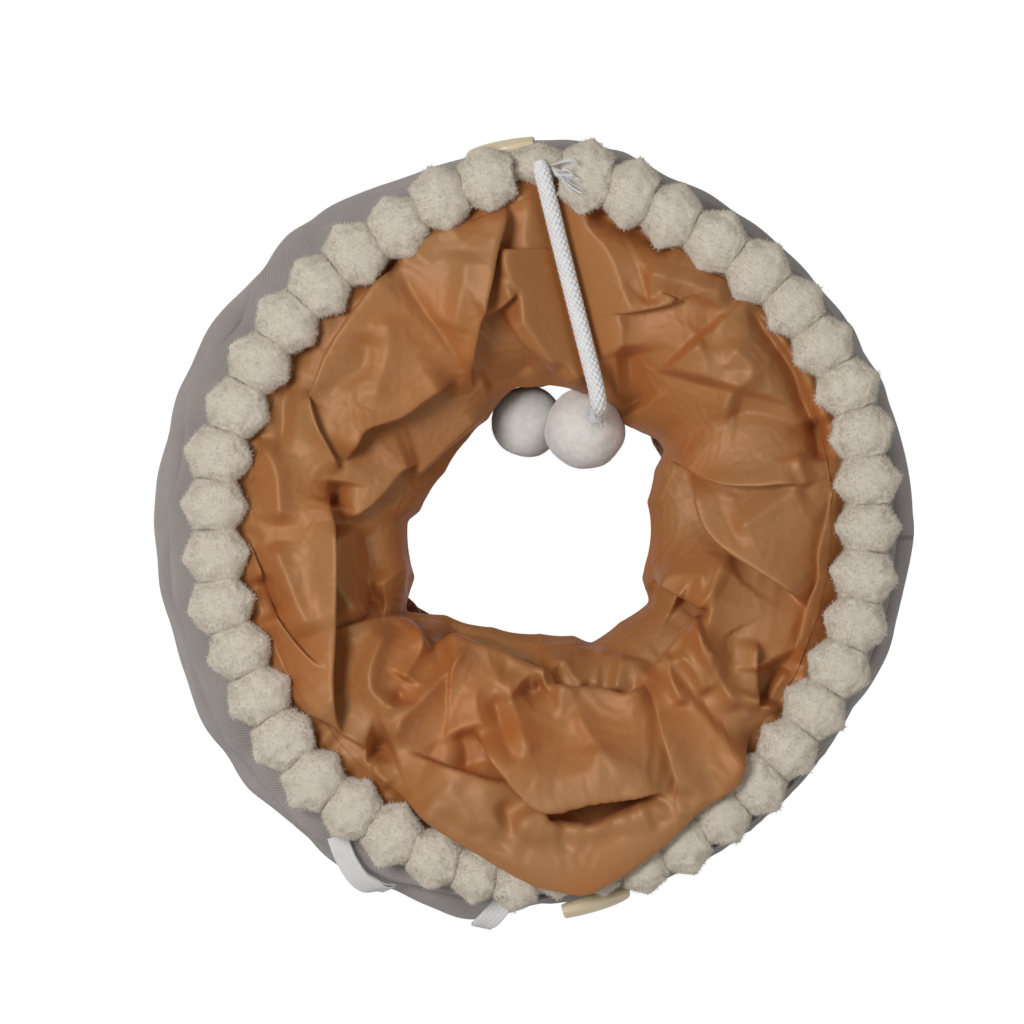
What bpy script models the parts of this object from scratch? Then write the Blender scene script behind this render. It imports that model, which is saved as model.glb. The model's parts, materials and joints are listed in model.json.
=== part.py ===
"""Cat tunnel, folded flat: sprung steel hoops in sewn casings, a twill cover and a taffeta lining pleated
between them, a pompom trim round both ends, toggles with elastic loops, and a rope with two felt balls.
Metres, +Z up. The tunnel stands on its far end with its axis along Z and its origin on the floor."""

import math

import bmesh
import bpy
from mathutils import Vector

# Gap left between two pieces that touch
GAP = 0.0003
MERGE_DISTANCE = 0.00005
RING_STEPS = 32
FINE_STEPS = 20

# Hoops, numbered from the near end down to the far end that stands on the floor
HOOP_COUNT = 6
HOOP_PITCH = 0.020
MIDDLE_RADII = (0.138, 0.142)
NEAR_INSET = (0.011, 0.008)
NEAR_CENTRE = (0.0022, 0.0051)
FAR_INSET = (0.014, 0.014)
WIRE_RADIUS = 0.0013
WIRE_SIDES = 6
SLEEVE_WALL = 0.0005
SLEEVE_LENGTH = 0.010
SLEEVE_STEPS = 8

# Casing: a sewn tube round the wire, open along its seam on the inner side
CASING_WALL = 0.0011
CASING_SIDES = 4
CASING_SEAM_DEG = 120.0

# Cover roll between two hoops
ROLL_DEPTH = 0.0125
ROLL_GAP = 0.0028
ROLL_INSET = 0.0030
ROLL_SHOULDER_SHARE = 0.2
ROLL_CORNER_SHARE = 0.84

# Lining pleat between two hoops
NEAR_HOLE_RADIUS = 0.052
NEAR_HOLE_CENTRE = (0.0, 0.010)
LOWER_HOLE_RADIUS = 0.060
LOWER_HOLE_CENTRE = (0.0, 0.004)
HOLE_STEPS = 24

# Pompom trim: pompoms on a woven tape
POMPOM_COUNT = 40
POMPOM_SIDES = 6
POMPOM_NECK = 0.5
POMPOM_FLAT = math.cos(math.pi / POMPOM_SIDES)
QUARTERS = 4
POMPOM_REACH = 0.0115
POMPOM_HEIGHT = 0.0070
FAR_POMPOM_REACH = 0.0092
FAR_POMPOM_HEIGHT = 0.0049
FAR_TRIM_LIFT = 0.0006
TAPE_WIDTH = 0.014
TAPE_THICKNESS = 0.0008
FAR_TAPE_WIDTH = 0.009

# Toggles: turned barrels on a short cord
TOGGLE_LENGTH = 0.0275
TOGGLE_RADIUS = 0.0041
TOGGLE_STEPS = 14
TOGGLE_FLAT_END = ((0.0, 1.0), (0.66, 1.0), (0.80, 0.94), (0.97, 0.4))
TOGGLE_ROUND_END = ((1.0, 0.0), (0.92, -0.45), (0.66, -0.86), (0.36, -1.0), (0.0, -1.0))
TOGGLE_BORE = 0.0014
TOGGLE_BORE_STEPS = 12
TOGGLE_BORE_END = 0.0012
TOGGLE_CORD_RADIUS = 0.0010
TOGGLE_PLACES = ((-0.0139, 1.0, 0.0095, 8.0), (0.0239, -1.0, 0.0130, 196.0))

# Elastic loops: flat band folded back on itself, draped over the top cover roll
LOOP_BAND_WIDTH = 0.0085
LOOP_BAND_THICKNESS = 0.0007
LOOP_REACH = 0.0100
LOOP_DROP = 0.0090
LOOP_PATH_SHARES = ((0.0, 0.0), (0.62, 0.0), (0.93, 0.34), (1.0, 1.0))
LOOP_FOLD_SHARE = 0.72
LOOP_ANGLES = (245.5, 262.0)

# Rope and felt balls, in the central hole
ROPE_RADIUS = 0.0036
ROPE_POINT_SPACING = 0.0045
ROPE_ROUTE = (
    (0.0012, 0.1465, 0.1181),
    (0.0049, 0.1320, 0.1181),
    (0.0091, 0.1150, 0.1171),
    (0.0134, 0.0980, 0.1169),
    (0.0177, 0.0810, 0.1169),
    (0.0210, 0.0680, 0.1170),
    (0.0230, 0.0600, 0.1173),
    (0.0241, 0.0545, 0.1172),
    (0.0246, 0.0512, 0.1155),
    (0.0248, 0.0497, 0.1120),
    (0.0250, 0.0489, 0.1060),
)
FRONT_BALL_RADIUS = 0.0158
FRONT_BALL_CENTRE = (0.0192, 0.0419, 0.0850)
REAR_BALL_RADIUS = 0.0143
REAR_BALL_CENTRE = (-0.0035, 0.0451, 0.0656)
ROPE_ENTRY = (0.30, 0.30, 0.906)
BALL_SEGMENTS = 14
BALL_RINGS = 10

# Worked out from the sizes above
NEAR_RADII = tuple(radius - inset for radius, inset in zip(MIDDLE_RADII, NEAR_INSET))
FAR_RADII = tuple(radius - inset for radius, inset in zip(MIDDLE_RADII, FAR_INSET))
SLEEVE_BORE = WIRE_RADIUS + GAP
SLEEVE_RADIUS = SLEEVE_BORE + SLEEVE_WALL
CASING_STEP_DEG = (360.0 - CASING_SEAM_DEG) / CASING_SIDES
CASING_FLAT = math.cos(math.radians(CASING_STEP_DEG / 2))
CASING_BORE = (SLEEVE_RADIUS + GAP) / CASING_FLAT
CASING_RADIUS = CASING_BORE + CASING_WALL
CASING_HALF_HEIGHT = CASING_RADIUS * CASING_FLAT
ROLL_HALF_HEIGHT = (HOOP_PITCH - ROLL_GAP) / 2


def clear_scene():
    for item in list(bpy.data.objects):
        bpy.data.objects.remove(item)


def new_collection(name):
    group = bpy.data.collections.new(name)
    bpy.context.scene.collection.children.link(group)
    return group


def finish_material(name, colour, roughness, metallic=0.0):
    made = bpy.data.materials.new(name)
    made.use_nodes = True
    shader = made.node_tree.nodes["Principled BSDF"]
    shader.inputs["Base Color"].default_value = (*colour, 1.0)
    shader.inputs["Roughness"].default_value = roughness
    shader.inputs["Metallic"].default_value = metallic
    return made


def steel_material(name):
    return finish_material(name, (0.45, 0.46, 0.48), 0.35, 1.0)


def twill_material(name):
    return finish_material(name, (0.29, 0.26, 0.24), 0.95)


def taffeta_material(name):
    return finish_material(name, (0.43, 0.19, 0.07), 0.45)


def plush_material(name):
    return finish_material(name, (0.68, 0.60, 0.46), 1.0)


def tape_material(name):
    return finish_material(name, (0.74, 0.72, 0.66), 0.9)


def horn_material(name):
    return finish_material(name, (0.66, 0.55, 0.37), 0.5)


def brown_cord_material(name):
    return finish_material(name, (0.35, 0.19, 0.08), 0.8)


def cotton_material(name):
    return finish_material(name, (0.80, 0.80, 0.80), 0.9)


def felt_material(name):
    return finish_material(name, (0.78, 0.76, 0.70), 1.0)


def add_object(name, data, material, collection):
    """A new object that holds the data, in its collection and with its own material."""
    made = bpy.data.objects.new(name, data)
    data.materials.append(material)
    collection.objects.link(made)
    return made


def profile_mesh(name, points, closed):
    """Edges along a profile in the XZ plane, for a Screw modifier."""
    mesh = bpy.data.meshes.new(name)
    count = len(points)
    edges = [(i, (i + 1) % count) for i in range(count if closed else count - 1)]
    mesh.from_pydata([(x, 0.0, z) for x, z in points], edges, [])
    return mesh


def turned(name, points, steps, material, collection, closed=True):
    """A turned shape: the profile swept once round its local Z axis."""
    made = add_object(name, profile_mesh(name, points, closed), material, collection)
    screw = made.modifiers.new("Turn", "SCREW")
    screw.axis = "Z"
    screw.angle = 2 * math.pi
    screw.steps = steps
    screw.render_steps = steps
    screw.use_merge_vertices = True
    screw.merge_threshold = MERGE_DISTANCE
    screw.use_smooth_shade = True
    return made


def oval_ring(name, points, radii, centre, height, material, collection):
    """A turned ring made slightly oval: the profile holds the Y radius, and X is scaled to its own."""
    ring = turned(name, points, RING_STEPS, material, collection)
    ring.location = (centre[0], centre[1], height)
    ring.scale = (radii[0] / radii[1], 1.0, 1.0)
    return ring


def arc_points(centre_x, radius, start_deg, step_deg, count):
    """Points on an arc of the profile round (centre_x, 0)."""
    angles = [math.radians(start_deg + step_deg * i) for i in range(count)]
    return [(centre_x + radius * math.cos(a), radius * math.sin(a)) for a in angles]


def far_trim_top():
    """Top of the far pompoms, on which the lowest cover roll lies."""
    return FAR_TRIM_LIFT + 2 * FAR_POMPOM_HEIGHT


def hoop_height(number):
    """Height of a hoop's wire. The far hoop's casing rests on the floor."""
    if number == HOOP_COUNT:
        return CASING_HALF_HEIGHT
    lowest = far_trim_top() + GAP + ROLL_HALF_HEIGHT + HOOP_PITCH / 2
    return lowest + HOOP_PITCH * (HOOP_COUNT - 1 - number)


def hoop_radii(number):
    if number == 1:
        return NEAR_RADII
    if number == HOOP_COUNT:
        return FAR_RADII
    return MIDDLE_RADII


def hoop_centre(number):
    return NEAR_CENTRE if number == 1 else (0.0, 0.0)


def hoop_wire(number, collection):
    """A round ring of spring steel wire."""
    name = f"hoop_wire_{number}"
    radii = hoop_radii(number)
    section = arc_points(radii[1], WIRE_RADIUS, 90.0, -360.0 / WIRE_SIDES, WIRE_SIDES)
    material = steel_material(name)
    oval_ring(name, section, radii, hoop_centre(number), hoop_height(number), material, collection)


def hoop_sleeve(number, collection):
    """The crimped sleeve that joins the wire's two ends, on the straight between two steps of the ring."""
    name = f"hoop_sleeve_{number}"
    half = SLEEVE_LENGTH / 2
    section = [(SLEEVE_RADIUS, half), (SLEEVE_RADIUS, -half), (SLEEVE_BORE, -half), (SLEEVE_BORE, half)]
    sleeve = turned(name, section, SLEEVE_STEPS, steel_material(name), collection)
    radii, centre = hoop_radii(number), hoop_centre(number)
    half_step = math.pi / RING_STEPS
    angles = (math.pi, math.pi + 2 * half_step)
    ends = [Vector((radii[0] * math.cos(a), radii[1] * math.sin(a), 0.0)) for a in angles]
    middle = (ends[0] + ends[1]) / 2
    sleeve.location = (centre[0] + middle.x, centre[1] + middle.y, hoop_height(number))
    sleeve.rotation_mode = "QUATERNION"
    sleeve.rotation_quaternion = (ends[1] - ends[0]).to_track_quat("Z", "X")


def hoop_casing(number, collection):
    """The sewn casing round the wire: a tube of doubled cover cloth, open along its seam.
    Its sides above and below are flat, and the far one rests on the floor."""
    name = f"hoop_casing_{number}"
    radii = hoop_radii(number)
    start = 180.0 - CASING_SEAM_DEG / 2
    corners = CASING_SIDES + 1
    outside = arc_points(radii[1], CASING_RADIUS, start, -CASING_STEP_DEG, corners)
    inside = arc_points(radii[1], CASING_BORE, start, -CASING_STEP_DEG, corners)
    section = outside + inside[::-1]
    material = twill_material(name)
    oval_ring(name, section, radii, hoop_centre(number), hoop_height(number), material, collection)


def near_tape_low():
    """Underside of the near trim's tape, which lies on the casing."""
    return hoop_height(1) + CASING_HALF_HEIGHT + GAP


def cover_panel(number, collection):
    """The twill cover between two hoops, rolled outwards past their casings."""
    name = f"cover_panel_{number}"
    middle = hoop_height(number) - HOOP_PITCH / 2
    neck = HOOP_PITCH / 2 - CASING_HALF_HEIGHT - GAP
    edge = MIDDLE_RADII[1]
    shoulder = edge + CASING_RADIUS + GAP
    outer_side = [
        (edge - ROLL_INSET, neck),
        (shoulder, neck),
        (shoulder + ROLL_SHOULDER_SHARE * (ROLL_DEPTH - CASING_RADIUS), ROLL_HALF_HEIGHT),
        (edge + ROLL_CORNER_SHARE * ROLL_DEPTH, ROLL_CORNER_SHARE * ROLL_HALF_HEIGHT),
        (edge + ROLL_DEPTH, 0.0),
    ]
    section = outer_side + [(x, -z) for x, z in outer_side[-2::-1]]
    oval_ring(name, section, MIDDLE_RADII, (0.0, 0.0), middle, twill_material(name), collection)


def add_outline(curve, radii, centre, steps):
    """One closed oval outline on a flat curve."""
    spline = curve.splines.new("POLY")
    spline.points.add(steps - 1)
    for i, point in enumerate(spline.points):
        angle = 2 * math.pi * i / steps
        x = centre[0] + radii[0] * math.cos(angle)
        y = centre[1] + radii[1] * math.sin(angle)
        point.co = (x, y, 0.0, 1.0)
    spline.use_cyclic_u = True


def lining_panel(number, collection):
    """The taffeta lining between two hoops, pleated inwards to the edge of the central hole."""
    name = f"lining_panel_{number}"
    low = hoop_height(number + 1) + CASING_HALF_HEIGHT + GAP
    high = hoop_height(number) - CASING_HALF_HEIGHT - GAP
    radii = tuple(r - ROLL_INSET - GAP for r in MIDDLE_RADII)
    outer_centre = (0.0, 0.0)
    hole_radius, hole_centre = LOWER_HOLE_RADIUS, LOWER_HOLE_CENTRE
    if number == 1:
        high = near_tape_low() - GAP
        radii = tuple(r - CASING_RADIUS - GAP for r in NEAR_RADII)
        outer_centre = NEAR_CENTRE
        hole_radius, hole_centre = NEAR_HOLE_RADIUS, NEAR_HOLE_CENTRE
    if number == HOOP_COUNT - 1:
        low = far_trim_top() + GAP
    curve = bpy.data.curves.new(name, "CURVE")
    curve.dimensions = "2D"
    curve.fill_mode = "BOTH"
    curve.extrude = (high - low) / 2
    add_outline(curve, radii, outer_centre, RING_STEPS)
    add_outline(curve, (hole_radius, hole_radius), hole_centre, HOLE_STEPS)
    panel = add_object(name, curve, taffeta_material(name), collection)
    panel.location = (0.0, 0.0, (high + low) / 2)


def oval_places(radii, centre, count):
    """Places spaced evenly along an oval from its top, each with the outward direction's angle."""
    fine = FINE_STEPS * count
    turn = 2 * math.pi / fine
    spots = [Vector((radii[0] * math.sin(turn * i), radii[1] * math.cos(turn * i))) for i in range(fine + 1)]
    lengths = [0.0]
    for before, after in zip(spots, spots[1:]):
        lengths.append(lengths[-1] + (after - before).length)
    places, index = [], 0
    for i in range(count):
        while lengths[index] < lengths[-1] * i / count:
            index += 1
        spot = spots[index]
        outward = math.atan2(spot.y / radii[1] ** 2, spot.x / radii[0] ** 2)
        places.append((spot.x + centre[0], spot.y + centre[1], outward))
    return places


def pompom_string(name, radii, centre, height, half_sizes, gap_at_top, collection):
    """A string of pompoms round an oval: one loft that swells at each pompom and narrows between them.
    With a gap at the top, the pompom at 12 o'clock is left out and both ends are closed."""
    places = oval_places(radii, centre, QUARTERS * POMPOM_COUNT)
    stations = []
    for i in range(1 if gap_at_top else 0, POMPOM_COUNT):
        middle = QUARTERS * i
        stations += [(middle - 2, POMPOM_NECK), (middle - 1, 1.0), (middle + 1, 1.0)]
    if gap_at_top:
        stations.append((QUARTERS * POMPOM_COUNT - 2, POMPOM_NECK))
    shape = bmesh.new()
    rings = []
    for index, size in stations:
        x, y, outward = places[index % len(places)]
        ring = []
        for side in range(POMPOM_SIDES):
            angle = 2 * math.pi * side / POMPOM_SIDES
            out = half_sizes[0] * size * math.cos(angle)
            up = half_sizes[1] * size * math.sin(angle) / POMPOM_FLAT
            corner = (x + out * math.cos(outward), y + out * math.sin(outward), height + up)
            ring.append(shape.verts.new(corner))
        rings.append(ring)
    pairs = list(zip(rings, rings[1:]))
    if gap_at_top:
        shape.faces.new(rings[0])
        shape.faces.new(rings[-1][::-1])
    else:
        pairs.append((rings[-1], rings[0]))
    for before, after in pairs:
        for side in range(POMPOM_SIDES):
            up = (side + 1) % POMPOM_SIDES
            shape.faces.new((before[side], after[side], after[up], before[up]))
    bmesh.ops.recalc_face_normals(shape, faces=shape.faces)
    mesh = bpy.data.meshes.new(name)
    shape.to_mesh(mesh)
    shape.free()
    mesh.shade_smooth()
    add_object(name, mesh, plush_material(name), collection)


def near_trim(collection):
    """The near end's tape lies on the casing, and its pompoms on the tape. The rope's end takes one place."""
    tape_low = near_tape_low()
    tape_high = tape_low + TAPE_THICKNESS
    edge = NEAR_RADII[1] + GAP
    inner = edge - TAPE_WIDTH
    section = [(edge, tape_high), (edge, tape_low), (inner, tape_low), (inner, tape_high)]
    material = tape_material("near_trim_tape")
    oval_ring("near_trim_tape", section, NEAR_RADII, NEAR_CENTRE, 0.0, material, collection)
    height = tape_high + GAP + POMPOM_HEIGHT
    radii = tuple(r + GAP for r in NEAR_RADII)
    pompom_string("near_pompoms", radii, NEAR_CENTRE, height, (POMPOM_REACH, POMPOM_HEIGHT), True, collection)


def far_trim(collection):
    """The far end's tape stands round the casing, and its pompoms lie outside it on the floor."""
    tape_inner = FAR_RADII[1] + CASING_RADIUS + GAP
    tape_outer = tape_inner + TAPE_THICKNESS
    low, high = FAR_TRIM_LIFT, FAR_TRIM_LIFT + FAR_TAPE_WIDTH
    section = [(tape_outer, high), (tape_outer, low), (tape_inner, low), (tape_inner, high)]
    material = tape_material("far_trim_tape")
    oval_ring("far_trim_tape", section, FAR_RADII, (0.0, 0.0), 0.0, material, collection)
    outset = tape_outer - FAR_RADII[1] + 2 * GAP + FAR_POMPOM_REACH
    radii = tuple(r + outset for r in FAR_RADII)
    height = FAR_TRIM_LIFT + FAR_POMPOM_HEIGHT
    half_sizes = (FAR_POMPOM_REACH, FAR_POMPOM_HEIGHT)
    pompom_string("far_pompoms", radii, (0.0, 0.0), height, half_sizes, False, collection)


def roll_top():
    """Top of the top cover roll, on which the toggles and the elastic loops lie."""
    return hoop_height(1) - HOOP_PITCH / 2 + ROLL_HALF_HEIGHT


def near_edge(x, side):
    """Y of the near casing's outer side at x, along the straight between two steps. Side is +1 or -1."""
    scale = NEAR_RADII[0] / NEAR_RADII[1]
    radius = NEAR_RADII[1] + CASING_RADIUS
    step = 2 * math.pi / RING_STEPS
    angle = math.acos((x - NEAR_CENTRE[0]) / scale / radius)
    first = math.floor(angle / step) * step
    (x1, y1), (x2, y2) = [(radius * math.cos(a), radius * math.sin(a)) for a in (first, first + step)]
    share = ((x - NEAR_CENTRE[0]) / scale - x1) / (x2 - x1)
    return NEAR_CENTRE[1] + side * (y1 + share * (y2 - y1))


def toggle(number, place, collection, cutters):
    """A turned barrel with a tapered end and a flat end, and the cord that holds it to the casing."""
    x, side, stand_off, turn_deg = place
    y = near_edge(x, side) + side * stand_off
    height = roll_top() + GAP + TOGGLE_RADIUS
    half = TOGGLE_LENGTH / 2
    section = [(TOGGLE_RADIUS * out, half * along) for out, along in TOGGLE_FLAT_END + TOGGLE_ROUND_END]
    name = f"toggle_{number}"
    barrel = turned(name, section, TOGGLE_STEPS, horn_material(name), collection, closed=False)
    barrel.location = (x, y, height)
    barrel.rotation_euler = (0.0, math.pi / 2, math.radians(turn_deg))
    cord_start = near_edge(x, side) + side * GAP
    cord_end = y - side * TOGGLE_BORE_END
    cord_middle = y - side * (TOGGLE_RADIUS + GAP)
    sizes = {"radius": TOGGLE_BORE, "depth": 2 * TOGGLE_RADIUS}
    bpy.ops.mesh.primitive_cylinder_add(vertices=TOGGLE_BORE_STEPS, **sizes)
    bore = bpy.context.object
    bore.name = f"{name}_bore"
    bore.location = (x, cord_end - side * (TOGGLE_RADIUS - GAP), height)
    bore.rotation_euler = (math.pi / 2, 0.0, 0.0)
    bore.hide_render = True
    bore.display_type = "WIRE"
    for owner in list(bore.users_collection):
        owner.objects.unlink(bore)
    cutters.objects.link(bore)
    cut = barrel.modifiers.new("Bore", "BOOLEAN")
    cut.operation = "DIFFERENCE"
    cut.solver = "EXACT"
    cut.object = bore
    cord_name = f"toggle_cord_{number}"
    points = [(x, cord_start, hoop_height(1)), (x, cord_middle, height), (x, cord_end, height)]
    tube(cord_name, points, TOGGLE_CORD_RADIUS, 2, brown_cord_material(cord_name), collection)


def tube(name, points, radius, resolution, material, collection):
    """A round cord along straight steps between the points, with its ends closed."""
    curve = bpy.data.curves.new(name, "CURVE")
    curve.dimensions = "3D"
    curve.bevel_depth = radius
    curve.bevel_resolution = resolution
    curve.use_fill_caps = True
    spline = curve.splines.new("POLY")
    spline.points.add(len(points) - 1)
    for point, place in zip(spline.points, points):
        point.co = (*place, 1.0)
    return add_object(name, curve, material, collection)


def elastic_loop(letter, angle_deg, collection):
    """A flat elastic band folded back on itself. Its origin is its root, on the top cover roll."""
    name = f"elastic_loop_{letter}"
    angle = math.radians(angle_deg)
    oval = math.hypot(math.cos(angle) / MIDDLE_RADII[0], math.sin(angle) / MIDDLE_RADII[1])
    clear = 2 * GAP + LOOP_BAND_THICKNESS / 2
    root_radius = 1.0 / oval + ROLL_DEPTH + clear - LOOP_REACH
    fold = LOOP_BAND_THICKNESS + GAP
    under = [(LOOP_REACH * out, -LOOP_DROP * down) for out, down in LOOP_PATH_SHARES]
    over = [(x + LOOP_FOLD_SHARE * fold, z + LOOP_FOLD_SHARE * fold) for x, z in under]
    over[0] = (0.0, fold)
    over[-1] = (LOOP_REACH + fold, -LOOP_DROP)
    path = under + [(LOOP_REACH + fold / 2, -LOOP_DROP - fold)] + over[::-1]
    half = LOOP_BAND_WIDTH / 2
    shape = bmesh.new()
    sides = [[shape.verts.new((x, side, z)) for x, z in path] for side in (-half, half)]
    left, right = sides
    for i in range(len(path) - 1):
        shape.faces.new((left[i], right[i], right[i + 1], left[i + 1]))
    mesh = bpy.data.meshes.new(name)
    shape.to_mesh(mesh)
    shape.free()
    band = add_object(name, mesh, tape_material(name), collection)
    solid = band.modifiers.new("Band", "SOLIDIFY")
    solid.thickness = LOOP_BAND_THICKNESS
    solid.offset = 0.0
    band.location = (root_radius * math.cos(angle), root_radius * math.sin(angle), roll_top() + clear)
    band.rotation_euler = (0.0, 0.0, angle)


def smooth_route(route, spacing):
    """Points read at an even spacing from a smooth curve through the route's points."""
    knots = [Vector(p) for p in route]
    knots = [2 * knots[0] - knots[1]] + knots + [2 * knots[-1] - knots[-2]]
    fine = []
    for a, b, c, d in zip(knots, knots[1:], knots[2:], knots[3:]):
        for step in range(FINE_STEPS):
            t = step / FINE_STEPS
            bend = (2 * a - 5 * b + 4 * c - d) * t**2 + (3 * b - a - 3 * c + d) * t**3
            fine.append((2 * b + (c - a) * t + bend) / 2)
    fine.append(knots[-2])
    lengths = [0.0]
    for before, after in zip(fine, fine[1:]):
        lengths.append(lengths[-1] + (after - before).length)
    count = round(lengths[-1] / spacing)
    points, index = [], 0
    for i in range(count + 1):
        target = lengths[-1] * i / count
        while index < len(fine) - 1 and lengths[index] < target:
            index += 1
        points.append(fine[index])
    return points


def rope_toy(collection):
    """The rope from the near rim down into the hole, a felt ball at its end and a second one beside it."""
    entry = Vector(ROPE_ENTRY).normalized()
    seat = Vector(FRONT_BALL_CENTRE) + entry * (FRONT_BALL_RADIUS + GAP)
    points = smooth_route(ROPE_ROUTE + (tuple(seat),), ROPE_POINT_SPACING)
    tube("toy_rope", points, ROPE_RADIUS, 3, cotton_material("toy_rope"), collection)
    felt_ball("felt_ball_front", FRONT_BALL_RADIUS, FRONT_BALL_CENTRE, collection)
    felt_ball("felt_ball_rear", REAR_BALL_RADIUS, REAR_BALL_CENTRE, collection)


def felt_ball(name, radius, centre, collection):
    shape = bmesh.new()
    bmesh.ops.create_uvsphere(shape, u_segments=BALL_SEGMENTS, v_segments=BALL_RINGS, radius=radius)
    mesh = bpy.data.meshes.new(name)
    shape.to_mesh(mesh)
    shape.free()
    mesh.shade_smooth()
    ball = add_object(name, mesh, felt_material(name), collection)
    ball.location = centre


def build():
    clear_scene()
    tunnel = new_collection("cat_tunnel")
    cutters = new_collection("cutters")
    for number in range(1, HOOP_COUNT + 1):
        hoop_wire(number, tunnel)
        hoop_sleeve(number, tunnel)
        hoop_casing(number, tunnel)
    for number in range(1, HOOP_COUNT):
        cover_panel(number, tunnel)
        lining_panel(number, tunnel)
    near_trim(tunnel)
    far_trim(tunnel)
    for number, place in enumerate(TOGGLE_PLACES, 1):
        toggle(number, place, tunnel, cutters)
    for letter, angle_deg in zip("ab", LOOP_ANGLES):
        elastic_loop(letter, angle_deg, tunnel)
    rope_toy(tunnel)


build()
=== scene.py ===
import json
import math

import bmesh
import bpy
import numpy as np
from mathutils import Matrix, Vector

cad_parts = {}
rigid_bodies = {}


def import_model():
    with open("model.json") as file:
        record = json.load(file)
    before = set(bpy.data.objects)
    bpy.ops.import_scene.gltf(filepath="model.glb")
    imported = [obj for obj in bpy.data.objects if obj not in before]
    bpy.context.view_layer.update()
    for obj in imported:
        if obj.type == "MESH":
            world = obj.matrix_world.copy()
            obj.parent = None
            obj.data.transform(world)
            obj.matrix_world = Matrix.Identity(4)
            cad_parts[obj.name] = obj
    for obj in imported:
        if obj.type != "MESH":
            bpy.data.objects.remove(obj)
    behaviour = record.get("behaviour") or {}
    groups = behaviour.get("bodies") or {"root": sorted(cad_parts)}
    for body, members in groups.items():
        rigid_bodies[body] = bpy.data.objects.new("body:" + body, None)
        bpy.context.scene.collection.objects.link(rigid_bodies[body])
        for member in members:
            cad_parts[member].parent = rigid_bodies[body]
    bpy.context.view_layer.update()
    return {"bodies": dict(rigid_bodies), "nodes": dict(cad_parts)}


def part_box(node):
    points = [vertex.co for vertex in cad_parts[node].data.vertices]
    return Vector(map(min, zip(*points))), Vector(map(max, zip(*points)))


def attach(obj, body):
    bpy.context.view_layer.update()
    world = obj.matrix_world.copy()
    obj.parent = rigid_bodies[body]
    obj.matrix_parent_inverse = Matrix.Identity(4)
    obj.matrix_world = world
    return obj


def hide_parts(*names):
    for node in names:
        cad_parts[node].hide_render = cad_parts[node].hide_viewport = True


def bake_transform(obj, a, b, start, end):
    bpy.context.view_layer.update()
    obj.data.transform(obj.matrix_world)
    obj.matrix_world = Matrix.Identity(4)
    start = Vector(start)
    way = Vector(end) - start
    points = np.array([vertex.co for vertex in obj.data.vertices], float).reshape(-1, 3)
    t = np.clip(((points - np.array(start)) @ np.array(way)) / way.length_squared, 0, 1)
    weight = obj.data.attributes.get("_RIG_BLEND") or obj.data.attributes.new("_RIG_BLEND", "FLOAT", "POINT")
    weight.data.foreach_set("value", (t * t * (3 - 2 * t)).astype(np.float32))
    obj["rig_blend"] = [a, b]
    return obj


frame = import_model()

# View, floor and light
# The folded tunnel lies on a pale studio floor and is seen from straight above its near end. One pixel of the
# photograph is a fixed length in the plane of the near ring, so a pixel of it names a place there.
METRES_PER_PIXEL = 0.000392
AXIS_PIXEL = (536.0, 535.0)
PHOTO_PIXELS = 1024
NEAR_PLANE = 0.115
CAMERA_DISTANCE = 3.3
SENSOR_MM = 36.0
FLOOR_SIZE = 12.0
FLOOR_ALBEDO = 0.80
FLOOR_GLOW = 1.05
FLOOR_GLOW_SHARE = 0.95
WORLD_LIGHT = 0.31
WHITE = (1, 1, 1, 1)
KEY_PLACE, KEY_SIZE, KEY_WATTS = (-1.05, 0.30, 2.10), 0.9, 32.0
FILL_PLACE, FILL_SIZE, FILL_WATTS = (1.3, -0.9, 1.9), 1.6, 7.0


def on_plane(px, py):
    """The place in the near ring's plane that a pixel of the photograph shows."""
    return (px - AXIS_PIXEL[0]) * METRES_PER_PIXEL, (AXIS_PIXEL[1] - py) * METRES_PER_PIXEL


def plane_points(pixels):
    """The same for a list of pixels, as an array of places."""
    return np.array([on_plane(px, py) for px, py in pixels])


def set_camera():
    """A long lens straight above the middle of the photograph, so that the ring still fits when it rises."""
    data = bpy.data.cameras.new("overhead_camera")
    data.sensor_width = SENSOR_MM
    data.lens = SENSOR_MM * CAMERA_DISTANCE / (PHOTO_PIXELS * METRES_PER_PIXEL)
    data.clip_end = 50.0
    camera = bpy.data.objects.new("overhead_camera", data)
    x, y = on_plane(PHOTO_PIXELS / 2, PHOTO_PIXELS / 2)
    camera.location = (x, y, NEAR_PLANE + CAMERA_DISTANCE)
    bpy.context.scene.collection.objects.link(camera)
    bpy.context.scene.camera = camera


def add_lamp(name, place, size, watts):
    """A round soft lamp that points at the middle of the near ring."""
    data = bpy.data.lights.new(name, "AREA")
    data.shape = "DISK"
    data.size = size
    data.energy = watts
    lamp = bpy.data.objects.new(name, data)
    lamp.location = place
    lamp.rotation_euler = (Vector((0.0, 0.0, NEAR_PLANE)) - Vector(place)).to_track_quat("-Z", "Y").to_euler()
    bpy.context.scene.collection.objects.link(lamp)


def worked_out(tree, operation, *values):
    """A Math node's result. Each value is a number or another node's output."""
    node = tree.nodes.new("ShaderNodeMath")
    node.operation = operation
    for socket, value in zip(node.inputs, values):
        if isinstance(value, bpy.types.NodeSocket):
            tree.links.new(value, socket)
        else:
            socket.default_value = value
    return node.outputs[0]


def seen_directly(tree):
    """1 where a ray comes from the camera, a reflection or a transmission, and 0 for light that bounces."""
    path = tree.nodes.new("ShaderNodeLightPath")
    mirrored = worked_out(tree, "MAXIMUM", path.outputs["Is Glossy Ray"], path.outputs["Is Transmission Ray"])
    return worked_out(tree, "MAXIMUM", path.outputs["Is Camera Ray"], mirrored)


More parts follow.
